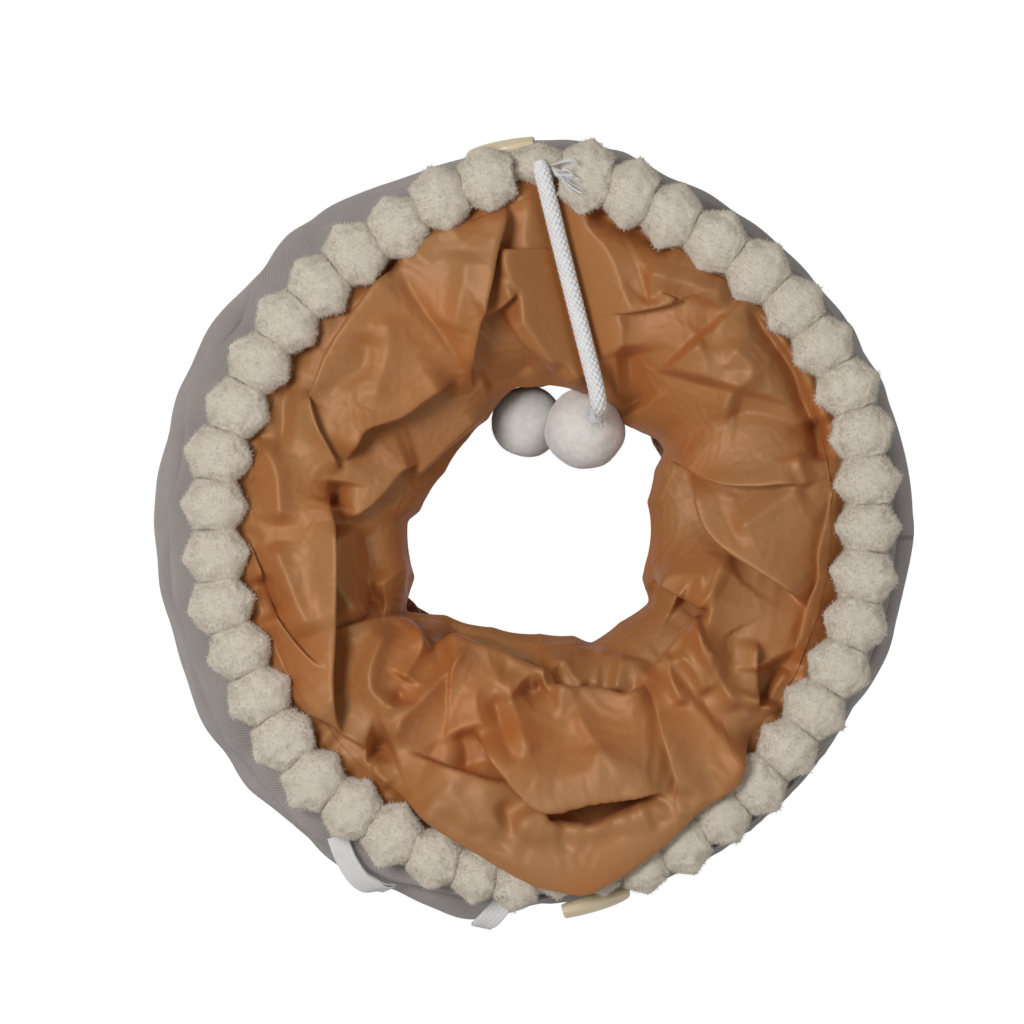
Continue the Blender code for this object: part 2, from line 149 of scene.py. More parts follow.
def make_floor():
    """A pale matt floor that looks white where it is lit and keeps a soft shadow."""
    mesh = bpy.data.meshes.new("studio_floor")
    half = FLOOR_SIZE / 2
    corners = [(-half, -half, 0), (half, -half, 0), (half, half, 0), (-half, half, 0)]
    mesh.from_pydata(corners, [], [(0, 1, 2, 3)])
    floor = bpy.data.objects.new("studio_floor", mesh)
    bpy.context.scene.collection.objects.link(floor)
    material = bpy.data.materials.new("studio_floor")
    material.use_nodes = True
    tree = material.node_tree
    matt = tree.nodes["Principled BSDF"]
    matt.inputs["Base Color"].default_value = (FLOOR_ALBEDO, FLOOR_ALBEDO, FLOOR_ALBEDO, 1)
    matt.inputs["Roughness"].default_value = 0.9
    glow = tree.nodes.new("ShaderNodeEmission")
    glow.inputs["Strength"].default_value = FLOOR_GLOW
    mix = tree.nodes.new("ShaderNodeMixShader")
    tree.links.new(worked_out(tree, "MULTIPLY", seen_directly(tree), FLOOR_GLOW_SHARE), mix.inputs["Fac"])
    tree.links.new(matt.outputs[0], mix.inputs[1])
    tree.links.new(glow.outputs[0], mix.inputs[2])
    tree.links.new(mix.outputs[0], tree.nodes["Material Output"].inputs["Surface"])
    mesh.materials.append(material)


def set_world():
    """An even grey light all round, which looks white behind the object."""
    world = bpy.data.worlds.new("studio")
    world.use_nodes = True
    tree = world.node_tree
    plain = tree.nodes["Background"]
    plain.inputs["Color"].default_value = WHITE
    plain.inputs["Strength"].default_value = WORLD_LIGHT
    white = tree.nodes.new("ShaderNodeBackground")
    white.inputs["Color"].default_value = WHITE
    mix = tree.nodes.new("ShaderNodeMixShader")
    path = tree.nodes.new("ShaderNodeLightPath")
    tree.links.new(path.outputs["Is Camera Ray"], mix.inputs["Fac"])
    tree.links.new(plain.outputs[0], mix.inputs[1])
    tree.links.new(white.outputs[0], mix.inputs[2])
    tree.links.new(mix.outputs[0], tree.nodes["World Output"].inputs["Surface"])
    bpy.context.scene.world = world


bpy.context.scene.view_settings.view_transform = "Standard"
set_camera()
set_world()
make_floor()
add_lamp("key_lamp", KEY_PLACE, KEY_SIZE, KEY_WATTS)
add_lamp("fill_lamp", FILL_PLACE, FILL_SIZE, FILL_WATTS)


# Cotton rope
# A round braid of white cotton yarn over a soft core, sewn to the near rim at 12 o'clock. It runs in over the
# lining and down into the central hole, where its end is sewn into the front felt ball.
ROPE_DIAMETER = 0.0072
ROPE_ROUTE = (
    (0.0012, 0.1465, 0.1216),
    (0.0049, 0.1320, 0.1208),
    (0.0091, 0.1150, 0.1182),
    (0.0134, 0.0980, 0.1169),
    (0.0177, 0.0810, 0.1169),
    (0.0210, 0.0680, 0.1170),
    (0.0230, 0.0600, 0.1173),
    (0.0241, 0.0545, 0.1172),
    (0.0246, 0.0512, 0.1155),
    (0.0248, 0.0497, 0.1120),
    (0.0250, 0.0489, 0.1060),
    (0.0240, 0.0467, 0.0996),
    (0.0233, 0.0456, 0.0965),
)
BRAID_STRANDS = 8
BRAID_PITCH = 0.022
BRAID_STEP = 0.0007
BRAID_RADIUS = 0.00265
BRAID_WEAVE = 0.00038
BRAID_CLOSES_OVER = 0.004
BRAID_END_SHARE = 0.35
STRAND_HALF_WIDTH = 0.00088
STRAND_HALF_THICKNESS = 0.00052
STRAND_SIDES = 7
CORE_RADIUS = 0.00225
CORE_SIDES = 14
YARN_PATCHES = (260.0, 3.0, 0.5)
ROPE_YARNS = 5200.0
ROPE_COLOUR = (0.83, 0.83, 0.83)


def new_group(name, inputs, outputs, kind="ShaderNodeTree"):
    """A node group with those sockets, given as names with the last word of their type, and its two ends."""
    group = bpy.data.node_groups.new(name, kind)
    for way, sockets in (("INPUT", inputs), ("OUTPUT", outputs)):
        for socket, type_word in sockets:
            group.interface.new_socket(socket, in_out=way, socket_type="NodeSocket" + type_word)
    return group, group.nodes.new("NodeGroupInput").outputs, group.nodes.new("NodeGroupOutput").inputs


def placed(tree, group, **values):
    """The group as a node of the tree. Each value is named for its socket, with _ for a space."""
    node = tree.nodes.new("ShaderNodeGroup")
    node.node_tree = group
    for name, value in values.items():
        socket = node.inputs[name.replace("_", " ")]
        if isinstance(value, bpy.types.NodeSocket):
            tree.links.new(value, socket)
        elif socket.type == "RGBA":
            socket.default_value = (*value, 1)
        else:
            socket.default_value = value
    return node.outputs


def make_dye_and_shade_group():
    """Two tones on one surface, dyes in some materials and painted shade and sheen in others: the colour goes
    from the dark to the pale one as Value goes from Low to High.
    """
    inputs = (("Value", "Float"), ("Low", "Float"), ("High", "Float"), ("Dark", "Color"), ("Pale", "Color"))
    group, given, result = new_group("dyes_and_shades", inputs, (("Colour", "Color"),))
    ramp = group.nodes.new("ShaderNodeMapRange")
    mix = group.nodes.new("ShaderNodeMix")
    mix.data_type = "RGBA"
    group.links.new(given["Value"], ramp.inputs["Value"])
    group.links.new(given["Low"], ramp.inputs["From Min"])
    group.links.new(given["High"], ramp.inputs["From Max"])
    group.links.new(ramp.outputs["Result"], mix.inputs["Factor"])
    group.links.new(given["Dark"], mix.inputs["A"])
    group.links.new(given["Pale"], mix.inputs["B"])
    group.links.new(mix.outputs["Result"], result["Colour"])
    return group


def make_clump_group():
    """Fibres that lie unevenly: soft random patches, so many to the metre, as a value from 0 to 1."""
    inputs = (("Place", "Vector"), ("Per metre", "Float"), ("Detail", "Float"), ("Roughness", "Float"))
    group, given, result = new_group("fibre_clumps", inputs, (("Value", "Float"),))
    noise = group.nodes.new("ShaderNodeTexNoise")
    group.links.new(given["Place"], noise.inputs["Vector"])
    group.links.new(given["Per metre"], noise.inputs["Scale"])
    group.links.new(given["Detail"], noise.inputs["Detail"])
    group.links.new(given["Roughness"], noise.inputs["Roughness"])
    group.links.new(noise.outputs["Fac"], result["Value"])
    return group


dyes_and_shades = make_dye_and_shade_group()
fibre_clumps = make_clump_group()


def clumps(tree, place, per_metre, detail, roughness):
    return placed(
        tree, fibre_clumps, Place=place, Per_metre=per_metre, Detail=detail, Roughness=roughness
    )["Value"]


def dyed_and_shaded(tree, shader, value, low, high, dark, pale):
    """Gives the shader a colour between two tones: dyes in some materials, painted shade and sheen in others.
    """
    colour = placed(tree, dyes_and_shades, Value=value, Low=low, High=high, Dark=dark, Pale=pale)["Colour"]
    tree.links.new(colour, shader.inputs["Base Color"])


def scaled(colour, factor):
    return tuple(c * factor for c in colour)


def new_material(name, roughness, sheen=0.0, specular=0.5):
    """A Principled material, with its node tree and shader."""
    material = bpy.data.materials.new(name)
    material.use_nodes = True
    shader = material.node_tree.nodes["Principled BSDF"]
    shader.inputs["Roughness"].default_value = roughness
    shader.inputs["Sheen Weight"].default_value = sheen
    shader.inputs["Specular IOR Level"].default_value = specular
    return material, material.node_tree, shader


def add_bump(tree, shader, height, strength, distance):
    bump = tree.nodes.new("ShaderNodeBump")
    bump.inputs["Strength"].default_value = strength
    bump.inputs["Distance"].default_value = distance
    tree.links.new(height, bump.inputs["Height"])
    tree.links.new(bump.outputs["Normal"], shader.inputs["Normal"])


def own_place(tree):
    """The object's own coordinates, in metres."""
    return tree.nodes.new("ShaderNodeTexCoord").outputs["Object"]


def yarn_material(name, colour, yarns_per_metre):
    """Spun yarn: fine soft threads, a little darker in patches."""
    material, tree, shader = new_material(name, 0.85, sheen=0.15, specular=0.3)
    place = own_place(tree)
    dyed_and_shaded(tree, shader, clumps(tree, place, *YARN_PATCHES), 0.3, 0.7, scaled(colour, 0.93), colour)
    add_bump(tree, shader, clumps(tree, place, yarns_per_metre, 2.0, 0.5), 0.6, 0.0002)
    return material


def on_curve(before, a, b, after, t):
    """The point at share t of the way from a to b, on the smooth curve through all four."""
    return 0.5 * (2 * a + (b - before) * t + (2 * before - 5 * a + 4 * b - after) * t**2
                  + (3 * a - before - 3 * b + after) * t**3)


def smooth_route(points, step):
    """Points about step apart on one smooth curve through the given ones, ends included."""
    known = np.array(points, float)
    padded = np.vstack([2 * known[0] - known[1], known, 2 * known[-1] - known[-2]])
    fine = []
    for i in range(1, len(padded) - 2):
        before, a, b, after = padded[i - 1 : i + 3]
        fine += [on_curve(before, a, b, after, t) for t in np.linspace(0, 1, 40, endpoint=False)]
    fine = np.array(fine + [known[-1]])
    along = np.concatenate([[0], np.cumsum(np.linalg.norm(np.diff(fine, axis=0), axis=1))])
    places = np.linspace(0, along[-1], int(along[-1] / step) + 2)
    return np.stack([np.interp(places, along, fine[:, k]) for k in range(3)], axis=1)


def frames_along(line):
    """Two directions across the line at each of its points, carried along without twist."""
    forward = np.gradient(line, axis=0)
    forward /= np.linalg.norm(forward, axis=1)[:, None]
    across = np.cross(forward[0], (0.0, 0.0, 1.0))
    if np.linalg.norm(across) < 0.1:
        across = np.cross(forward[0], (1.0, 0.0, 0.0))
    sides = []
    for f in forward:
        across = across - f * np.dot(across, f)
        across = across / np.linalg.norm(across)
        sides.append(across)
    sides = np.array(sides)
    return forward, sides, np.cross(forward, sides)


def tube_mesh(line, sides, half_width, half_thickness, flat_way=None):
    """Vertices and faces of a closed tube along a line. flat_way is the direction its thickness lies in."""
    forward, a, b = frames_along(line)
    if flat_way is not None:
        b = flat_way - forward * (flat_way * forward).sum(1)[:, None]
        b /= np.linalg.norm(b, axis=1)[:, None]
        a = np.cross(b, forward)
    turn = np.arange(sides) * 2 * math.pi / sides
    rings = (
        line[:, None]
        + (a * half_width)[:, None] * np.cos(turn)[None, :, None]
        + (b * half_thickness)[:, None] * np.sin(turn)[None, :, None]
    )
    count = len(line)
    faces = [
        (i * sides + k, i * sides + (k + 1) % sides, (i + 1) * sides + (k + 1) % sides, (i + 1) * sides + k)
        for i in range(count - 1)
        for k in range(sides)
    ]
    faces.append(tuple(range(sides))[::-1])
    faces.append(tuple((count - 1) * sides + k for k in range(sides)))
    return rings.reshape(-1, 3), faces


def join_meshes(parts):
    """One list of vertices and one of faces from several."""
    vertices, faces, start = [], [], 0
    for part_vertices, part_faces in parts:
        vertices.append(np.asarray(part_vertices, float))
        faces += [tuple(start + i for i in face) for face in part_faces]
        start += len(part_vertices)
    return np.vstack(vertices), faces


def new_piece(name, vertices, faces, material):
    """A smooth mesh object in the scene."""
    mesh = bpy.data.meshes.new(name)
    mesh.from_pydata([tuple(v) for v in vertices], [], faces)
    mesh.materials.append(material)
    mesh.shade_smooth()
    piece = bpy.data.objects.new(name, mesh)
    bpy.context.scene.collection.objects.link(piece)
    return piece


def make_rope():
    """The core with eight strands round it each way, one lot over the other in turn, drawn in at the rim."""
    line = smooth_route(ROPE_ROUTE, BRAID_STEP)
    _, a, b = frames_along(line)
    along = np.concatenate([[0], np.cumsum(np.linalg.norm(np.diff(line, axis=0), axis=1))])
    parts = [tube_mesh(line, CORE_SIDES, CORE_RADIUS, CORE_RADIUS)]
    weave = np.cos(2 * BRAID_STRANDS * math.pi * along / BRAID_PITCH)
    closing = BRAID_END_SHARE + (1 - BRAID_END_SHARE) * np.clip(along / BRAID_CLOSES_OVER, 0, 1) ** 0.5
    for way in (1, -1):
        radius = (BRAID_RADIUS + way * BRAID_WEAVE * weave) * closing
        for k in range(BRAID_STRANDS):
            turn = way * 2 * math.pi * along / BRAID_PITCH + 2 * math.pi * k / BRAID_STRANDS
            out = a * np.cos(turn)[:, None] + b * np.sin(turn)[:, None]
            strand = line + out * radius[:, None]
            parts.append(tube_mesh(strand, STRAND_SIDES, STRAND_HALF_WIDTH, STRAND_HALF_THICKNESS, out))
    cotton = yarn_material("rope_cotton", ROPE_COLOUR, ROPE_YARNS)
    rope = new_piece("toy_rope_braid", *join_meshes(parts), cotton)
    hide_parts("toy_rope")
    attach(rope, "near_end")
    return rope, line, float(along[-1])


rope, rope_line, rope_length = make_rope()


# Felt balls
# Two balls of off-white wool, wet felted round a soft core. The rope's end is sewn into the front one, and
# the rear one hangs beside it.
BALL_COLOUR = (0.84, 0.81, 0.765)
BALL_CLUMPS = (330.0, 4.0, 0.6)
BALL_FIBRES = (1100.0, 5.0, 0.7)
BALL_CUTS = 26
BALL_DENT = 0.00035
FUZZ_COUNT = 2600
FUZZ_LENGTH = 0.0013
FUZZ_WIDTH = 0.00005
FUZZ_LEAN = (0.7, 1.5)
FIBRE_BENDS = 2


def ripples(x, y, wavelength, seed, count=14, z=None):
    """Smooth random waves of about that wavelength, from -1 to 1 at most places, the same each run."""
    rng = np.random.default_rng(seed)
    total = np.zeros_like(x)
    for _ in range(count):
        way = rng.normal(size=3 if z is not None else 2)
        way /= np.linalg.norm(way)
        number = 2 * math.pi / (wavelength * rng.uniform(0.7, 1.5))
        phase = rng.uniform(0, 2 * math.pi)
        run = way[0] * x + way[1] * y
        if z is not None:
            run = run + way[2] * z
        total += np.cos(number * run + phase)
    return total * math.sqrt(2.0 / count) * 0.7


def fibre_mesh(roots, normals, length, width, lean, rng):
    """Short tapering ribbons that bend away from a surface. lean is the least and most tilt in radians."""
    count = len(roots)
    way = rng.normal(size=(count, 3))
    way -= normals * (way * normals).sum(1)[:, None]
    way /= np.linalg.norm(way, axis=1)[:, None] + 1e-9
    tilt = rng.uniform(lean[0], lean[1], count)[:, None]
    lengths = (length * rng.uniform(0.55, 1.15, count))[:, None]
    points = [roots]
    for step in range(FIBRE_BENDS):
        angle = tilt * (0.75 + 0.5 * step)
        points.append(points[-1] + (normals * np.cos(angle) + way * np.sin(angle)) * lengths / FIBRE_BENDS)
    side = np.cross(way, normals)
    rows = []
    for step, point in enumerate(points):
        half = width / 2 * (1 - 0.75 * step / FIBRE_BENDS)
        rows.append(point - side * half)
        rows.append(point + side * half)
    vertices = np.stack(rows, axis=1).reshape(-1, 3)
    base = np.arange(count) * 2 * (FIBRE_BENDS + 1)
    faces = []
    for step in range(FIBRE_BENDS):
        first = base + 2 * step
        faces.append(np.stack([first, first + 1, first + 3, first + 2], axis=1))
    return vertices, [tuple(f) for f in np.vstack(faces).tolist()]


def ball_surface(cuts):
    """A round ball of unit radius, from a cube cut that many times each way, as vertices and quads."""
    made = bmesh.new()
    bmesh.ops.create_cube(made, size=2.0)
    bmesh.ops.subdivide_edges(made, edges=made.edges[:], cuts=cuts, use_grid_fill=True)
    vertices = np.array([v.co.normalized() for v in made.verts])
    made.verts.ensure_lookup_table()
    faces = [tuple(v.index for v in f.verts) for f in made.faces]
    made.free()
    return vertices, faces


def felt_material():
    """Wool felt: light goes a little way into it, and it is darker where the wool clumps."""
    material, tree, shader = new_material("ball_felt", 0.95, sheen=0.6, specular=0.1)
    shader.inputs["Subsurface Weight"].default_value = 0.8
    shader.inputs["Subsurface Radius"].default_value = (1.0, 0.9, 0.8)
    shader.inputs["Subsurface Scale"].default_value = 0.012
    place = own_place(tree)
    dyed_and_shaded(tree, shader, clumps(tree, place, *BALL_CLUMPS), 0.3, 0.7, scaled(BALL_COLOUR, 0.84), BALL_COLOUR)
    add_bump(tree, shader, clumps(tree, place, *BALL_FIBRES), 0.6, 0.0008)
    return material


def make_ball(node, seed, material):
    """One ball, a little uneven and fuzzy, in the place of its CAD node."""
    low, high = (np.array(corner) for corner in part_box(node))
    centre, radius = (low + high) / 2, float((high - low).max()) / 2
    unit, faces = ball_surface(BALL_CUTS)
    dent = ripples(unit[:, 0], unit[:, 1], 0.9, seed, z=unit[:, 2])
    body = centre + unit * (radius + BALL_DENT * dent)[:, None]
    rng = np.random.default_rng(seed)
    picked = rng.integers(0, len(unit), FUZZ_COUNT)
    fuzz = fibre_mesh(body[picked], unit[picked], FUZZ_LENGTH, FUZZ_WIDTH, FUZZ_LEAN, rng)
    ball = new_piece(node + "_felt", *join_meshes([(body, faces), fuzz]), material)
    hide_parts(node)
    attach(ball, "near_end")
    return ball


felt = felt_material()
front_ball = make_ball("felt_ball_front", 11, felt)
rear_ball = make_ball("felt_ball_rear", 12, felt)


# Lining
# Five panels of thin copper taffeta, sewn together at the hoops, each cut to 0.85 by 0.17 m. Folded flat, a
# panel runs in towards the central hole and back out to the next hoop. The top one shows: its cloth is
# crushed into large folds, bulges over the trim at 6 o'clock, and is gathered in a seam along the rim.
LINING_CUT = (0.85, 0.170)
RIM_CENTRE = (0.0022, 0.0051)
HOOP_HEIGHTS = (0.1093, 0.0893, 0.0693, 0.0493, 0.0293, 0.00335)
HOOP_BODIES = ("near_end", "hoop_2", "hoop_3", "hoop_4", "hoop_5", "far_end")
NEAR_HOOP_RADII = (0.127, 0.134)
MIDDLE_HOOP_RADII = (0.138, 0.142)
FAR_HOOP_RADII = (0.124, 0.128)
OPEN_TRAVEL = 0.154
OPEN_LINING_WAIST = 0.0055
TOP_COLUMNS = 480
TOP_ROWS = 80
UNDER_ROWS = 16
FOLD_SCALE = 1.75
OVERLAP_EDGE = 0.0012
OVERLAP_PULL = 0.34
LINING_START_INSET = 0.0045
ROPE_SEAM_DEG, ROPE_SEAM_WIDTH_DEG, ROPE_SEAM_OUTSET = 88.0, 9.0, 0.0072
POMPOM_INNER_INSET = 0.0085
UNDER_END_INSET = 0.0040
UNDER_END_RISE = 0.0012
UNDER_DROP = 0.0072
UNDER_STEEPNESS = 4.5
LINING_TOP, LINING_TOP_SOFTENING = 0.1415, 0.005
GATHER_HEIGHT, GATHER_SPACING = 0.0010, 0.0085
BULGE_FIRST_ROW = 0.12
# Rows of the top panel from the rim in to the hole: the share of the way, the height, and in BULGE_RAISES how
# much higher the cloth lies round 6 o'clock. OVERHANG_PROFILE is the roll that it makes there over the trim.
RIM_PROFILE = (
    (0.00, 0.1146), (0.035, 0.1158), (0.12, 0.1186), (0.24, 0.1222), (0.42, 0.1222), (0.62, 0.1175),
    (0.80, 0.1085), (0.93, 0.0980), (1.00, 0.0870),
)
BULGE_RAISES = (0.0, 0.0, 0.0, 0.0095, 0.0070, 0.0030, 0.0010, 0.0, 0.0)
OVERHANG_PROFILE = (
    (0.0, 0.1220), (0.0, 0.1262), (0.35, 0.1285), (0.80, 0.1290), (1.0, 0.1308), (0.84, 0.1330),
    (0.45, 0.1342),
)
OVERHANG_FROM_DEG, OVERHANG_TO_DEG, OVERHANG_FADE_DEG = 240.0, 315.0, 9.0
PUFFED_FROM_DEG, PUFFED_IN_DEG, PUFFED_TO_DEG, PUFFED_OUT_DEG = 225, 45, 335, 40
OVERHANG_PIXELS = (
    (369, 789), (420, 816), (479, 854), (504, 870), (537, 887), (568, 894), (588, 896), (606, 886),
    (632, 870), (665, 844), (700, 810),
)
HOLE_PIXELS = (
    (405, 612), (415, 578), (408, 545), (408, 521), (420, 512), (429, 494), (446, 473), (469, 441),
    (488, 420), (504, 397), (516, 387), (530, 388), (548, 386), (567, 390), (598, 404), (627, 426),
    (643, 433), (659, 440), (665, 451), (655, 469), (652, 486), (647, 502), (650, 516), (645, 565),
    (642, 579), (649, 603), (620, 622), (591, 643), (574, 635), (540, 633), (494, 626), (446, 614),
    (411, 611),
)
# Each fold is its kind, its height before FOLD_SCALE and its widths on its two sides in millimetres, and the
# pixels that it runs through. A ridge stands up and a valley dips. At an overlap the cloth on one side lies
# over the other: left or right of the way the line runs, as seen in the photograph.
FOLDS = (
    ("over_right", 7, 12, 9, ((510, 191), (505, 221), (497, 250), (490, 283), (480, 321), (471, 369),
                              (476, 393))),
    ("over_left", 5, 12, 7, ((399, 264), (376, 283), (353, 313), (329, 349), (313, 389), (308, 410))),
    ("valley", 5, 3, 4, ((381, 270), (390, 261), (400, 262))),
    ("valley", 3, 4, 4, ((318, 317), (295, 356), (286, 388), (280, 465))),
    ("valley", 1.3, 2, 2, ((399, 267), (412, 293), (432, 321), (444, 339), (454, 357), (462, 382))),
    ("ridge", 2, 7, 7, ((388, 312), (389, 349), (379, 382), (374, 408))),
    ("valley", 2, 5, 6, ((368, 332), (363, 366), (340, 385), (322, 402))),
    ("ridge", 3, 6, 7, ((462, 215), (425, 230), (401, 258))),
    ("ridge", 2, 5, 6, ((466, 250), (462, 283), (454, 324), (446, 336))),
    ("over_right", 8, 12, 8, ((458, 378), (425, 399), (403, 415), (368, 427), (359, 440), (346, 466))),
    ("over_right", 5, 6, 6, ((306, 385), (316, 422), (326, 443), (336, 460), (343, 473))),
    ("over_right", 5, 8, 6, ((520, 294), (511, 301), (503, 309), (479, 323))),
    ("over_right", 5, 9, 6, ((495, 251), (521, 251), (546, 249), (563, 256))),
    ("ridge", 7, 9, 9, ((497, 258), (521, 273), (546, 291), (552, 310), (567, 340), (581, 376),
                        (596, 398))),
    ("ridge", 4, 5, 5, ((520, 294), (533, 324), (546, 349), (563, 371))),
    ("over_left", 5, 8, 7, ((505, 313), (521, 341), (546, 364), (566, 382), (590, 397))),
    ("valley", 3, 5, 5, ((482, 382), (510, 377), (535, 361))),
    ("ridge", 4, 6, 4, ((500, 190), (542, 190), (585, 199))),
    ("valley", 6, 5, 6, ((583, 203), (623, 221), (656, 238), (679, 248))),
    ("ridge", 3, 5, 4, ((585, 201), (574, 212), (560, 240))),
    ("ridge", 4, 8, 7, ((639, 276), (646, 273), (679, 281), (712, 291), (734, 294))),
    ("ridge", 3, 6, 7, ((578, 243), (596, 273), (611, 303), (633, 309))),
    ("over_left", 4, 6, 6, ((603, 314), (634, 313), (679, 302), (654, 291))),
    ("ridge", 4, 5, 6, ((606, 318), (614, 345), (617, 375), (619, 408))),
    ("valley", 6, 6, 11, ((628, 345), (631, 370), (636, 392), (645, 408))),
    ("ridge", 5, 22, 22, ((690, 340), (705, 360), (700, 385))),
    ("valley", 2, 5, 6, ((710, 299), (707, 316), (712, 337), (697, 345))),
    ("ridge", 3, 6, 6, ((723, 340), (752, 371), (730, 395), (723, 413), (730, 424))),
    ("valley", 3, 7, 9, ((727, 405), (757, 411), (790, 424), (808, 440))),
    ("valley", 5, 5, 4, ((746, 302), (758, 320), (775, 345), (794, 373), (800, 396), (811, 416),
                         (826, 452))),
    ("ridge", 3, 3, 3, ((752, 304), (775, 331), (797, 358), (815, 385), (829, 418), (838, 450))),
    ("valley", 6, 5, 4, ((812, 419), (817, 440), (820, 462))),
    ("over_left", 5, 9, 8, ((665, 458), (681, 464), (695, 474), (723, 484), (756, 486), (781, 484),
                            (806, 487))),
    ("ridge", 3, 4, 4, ((796, 452), (802, 474), (807, 488))),
    ("over_left", 8, 13, 9, ((689, 470), (698, 508), (706, 528), (718, 541), (733, 553), (756, 568),
                             (783, 586), (807, 610))),
    ("ridge", 3, 5, 7, ((806, 488), (783, 500), (759, 516), (733, 531))),
    ("over_left", 5, 7, 6, ((834, 483), (827, 516), (818, 551), (817, 580), (807, 606), (799, 639),
                            (789, 668))),
    ("ridge", 6, 8, 8, ((738, 555), (720, 566), (713, 586), (710, 613), (703, 641), (713, 654),
                        (734, 659))),
    ("ridge", 3, 6, 5, ((652, 577), (680, 572), (711, 577))),
    ("over_left", 7, 8, 5, ((652, 578), (668, 588), (690, 599), (709, 612))),
    ("valley", 6, 5, 6, ((676, 598), (692, 608), (706, 616))),
    ("over_left", 7, 10, 7, ((706, 617), (693, 619), (676, 641), (660, 659), (645, 677))),
    ("over_left", 6, 8, 6, ((645, 678), (654, 701), (661, 733), (669, 758), (676, 785), (673, 801))),
    ("ridge", 3, 4, 4, ((678, 652), (695, 671), (708, 694))),
    ("ridge", 3, 4, 4, ((670, 654), (673, 679), (684, 706))),
    ("ridge", 4, 5, 4, ((698, 620), (703, 650), (722, 684), (736, 712))),
    ("over_right", 5, 6, 5, ((759, 639), (756, 662), (758, 696), (759, 712))),
    ("valley", 8, 7, 7, ((772, 660), (776, 668), (768, 688), (762, 704))),
    ("ridge", 4, 4, 5, ((789, 668), (775, 690), (768, 716))),
    ("ridge", 4, 6, 6, ((260, 440), (276, 470), (280, 506), (279, 527))),
    ("ridge", 4, 5, 6, ((276, 538), (280, 556), (296, 599), (312, 637))),
    ("over_right", 4, 6, 6, ((243, 527), (257, 559), (270, 596), (280, 621), (303, 651), (324, 670))),
    ("valley", 7, 4, 4, ((260, 575), (268, 597), (279, 617))),
    ("over_left", 4, 7, 5, ((284, 690), (300, 708), (317, 719), (350, 738), (371, 752))),
    ("over_right", 9, 12, 8, ((330, 480), (330, 506), (333, 533), (334, 566), (333, 632), (331, 680),
                              (335, 710), (352, 738))),
    ("valley", 7, 4, 4, ((338, 481), (337, 493), (334, 506))),
    ("over_left", 6, 9, 5, ((346, 522), (360, 513), (373, 503), (389, 486), (404, 468), (420, 462))),
    ("over_left", 4, 6, 4, ((408, 487), (429, 466), (462, 436), (488, 414))),
    ("ridge", 7, 6, 8, ((347, 522), (344, 549), (341, 574), (352, 600), (368, 616))),
    ("valley", 5, 5, 5, ((361, 526), (368, 549), (370, 579), (368, 612))),
    ("ridge", 4, 5, 5, ((371, 590), (388, 579), (406, 569), (414, 573))),
    ("valley", 3, 5, 5, ((366, 598), (374, 600), (384, 600))),
    ("over_right", 4, 10, 8, ((333, 630), (356, 624), (379, 617), (402, 618), (418, 628), (432, 655))),
    ("ridge", 5, 6, 6, ((390, 623), (378, 650), (371, 673), (376, 694), (406, 713))),
    ("ridge", 4, 5, 5, ((412, 620), (421, 648), (408, 670), (398, 696))),
    ("valley", 4, 4, 4, ((407, 676), (400, 690), (400, 705))),
    ("over_right", 10, 13, 7, ((432, 643), (454, 638), (472, 646), (499, 653), (517, 663), (546, 672),
                               (560, 661))),
    ("ridge", 5, 6, 6, ((469, 646), (449, 670), (424, 696), (406, 713), (398, 727), (390, 747))),
    ("ridge", 3, 7, 8, ((506, 670), (491, 678), (477, 692), (478, 710), (487, 734))),
    ("ridge", 3, 7, 5, ((508, 671), (511, 696), (521, 729), (535, 756))),
    ("valley", 2.5, 4, 4, ((492, 694), (498, 715), (508, 740), (522, 762))),
    ("valley", 4, 6, 5, ((459, 729), (465, 746), (467, 770))),
    ("valley", 6, 3, 4, ((520, 686), (531, 695), (543, 686))),
    ("ridge", 4, 4, 4, ((536, 675), (549, 665), (563, 659), (572, 672), (589, 686))),
    ("ridge", 3, 4, 4, ((602, 645), (598, 668), (595, 686))),
    ("ridge", 3, 4, 4, ((623, 653), (619, 672), (617, 690))),
    ("over_right", 6, 10, 6, ((544, 686), (570, 687), (601, 688), (622, 694), (634, 690), (648, 682))),
    ("ridge", 2, 4, 4, ((573, 706), (589, 733), (619, 769), (628, 782))),
    ("ridge", 1.6, 4, 4, ((594, 743), (597, 765), (599, 788))),
    ("over_left", 10, 14, 7, ((471, 725), (480, 738), (496, 759), (522, 786), (549, 808), (575, 803),
                              (600, 798), (651, 792), (673, 799))),
    ("over_right", 6, 12, 6, ((399, 747), (436, 761), (466, 772), (491, 781), (522, 787), (536, 799),
                              (547, 822), (579, 823), (589, 824), (626, 811), (645, 804), (667, 801))),
    ("valley", 5, 5, 5, ((556, 815), (585, 815), (615, 808), (640, 800))),
    ("ridge", 3, 5, 5, ((479, 781), (485, 803), (501, 831), (520, 862))),
    ("ridge", 3, 5, 5, ((521, 808), (526, 835), (542, 864), (556, 880))),
    ("valley", 3, 5, 5, ((500, 800), (508, 822), (524, 850))),
    ("ridge", 2, 5, 5, ((444, 779), (462, 808), (480, 836))),
    ("valley", 7, 6, 6, ((368, 746), (380, 747), (392, 743))),
    ("ridge", 4, 5, 5, ((378, 752), (376, 771), (390, 786), (414, 810))),
    ("valley", 5, 4, 4, ((382, 786), (398, 800), (416, 817))),
    ("ridge", 4, 5, 4, ((631, 824), (632, 836), (615, 858), (596, 875), (586, 894))),
    ("ridge", 3, 4, 5, ((670, 805), (646, 831), (618, 860))),
)
ROPE_PRESSES_ABOVE = 0.1165
ROPE_BED = 0.0004
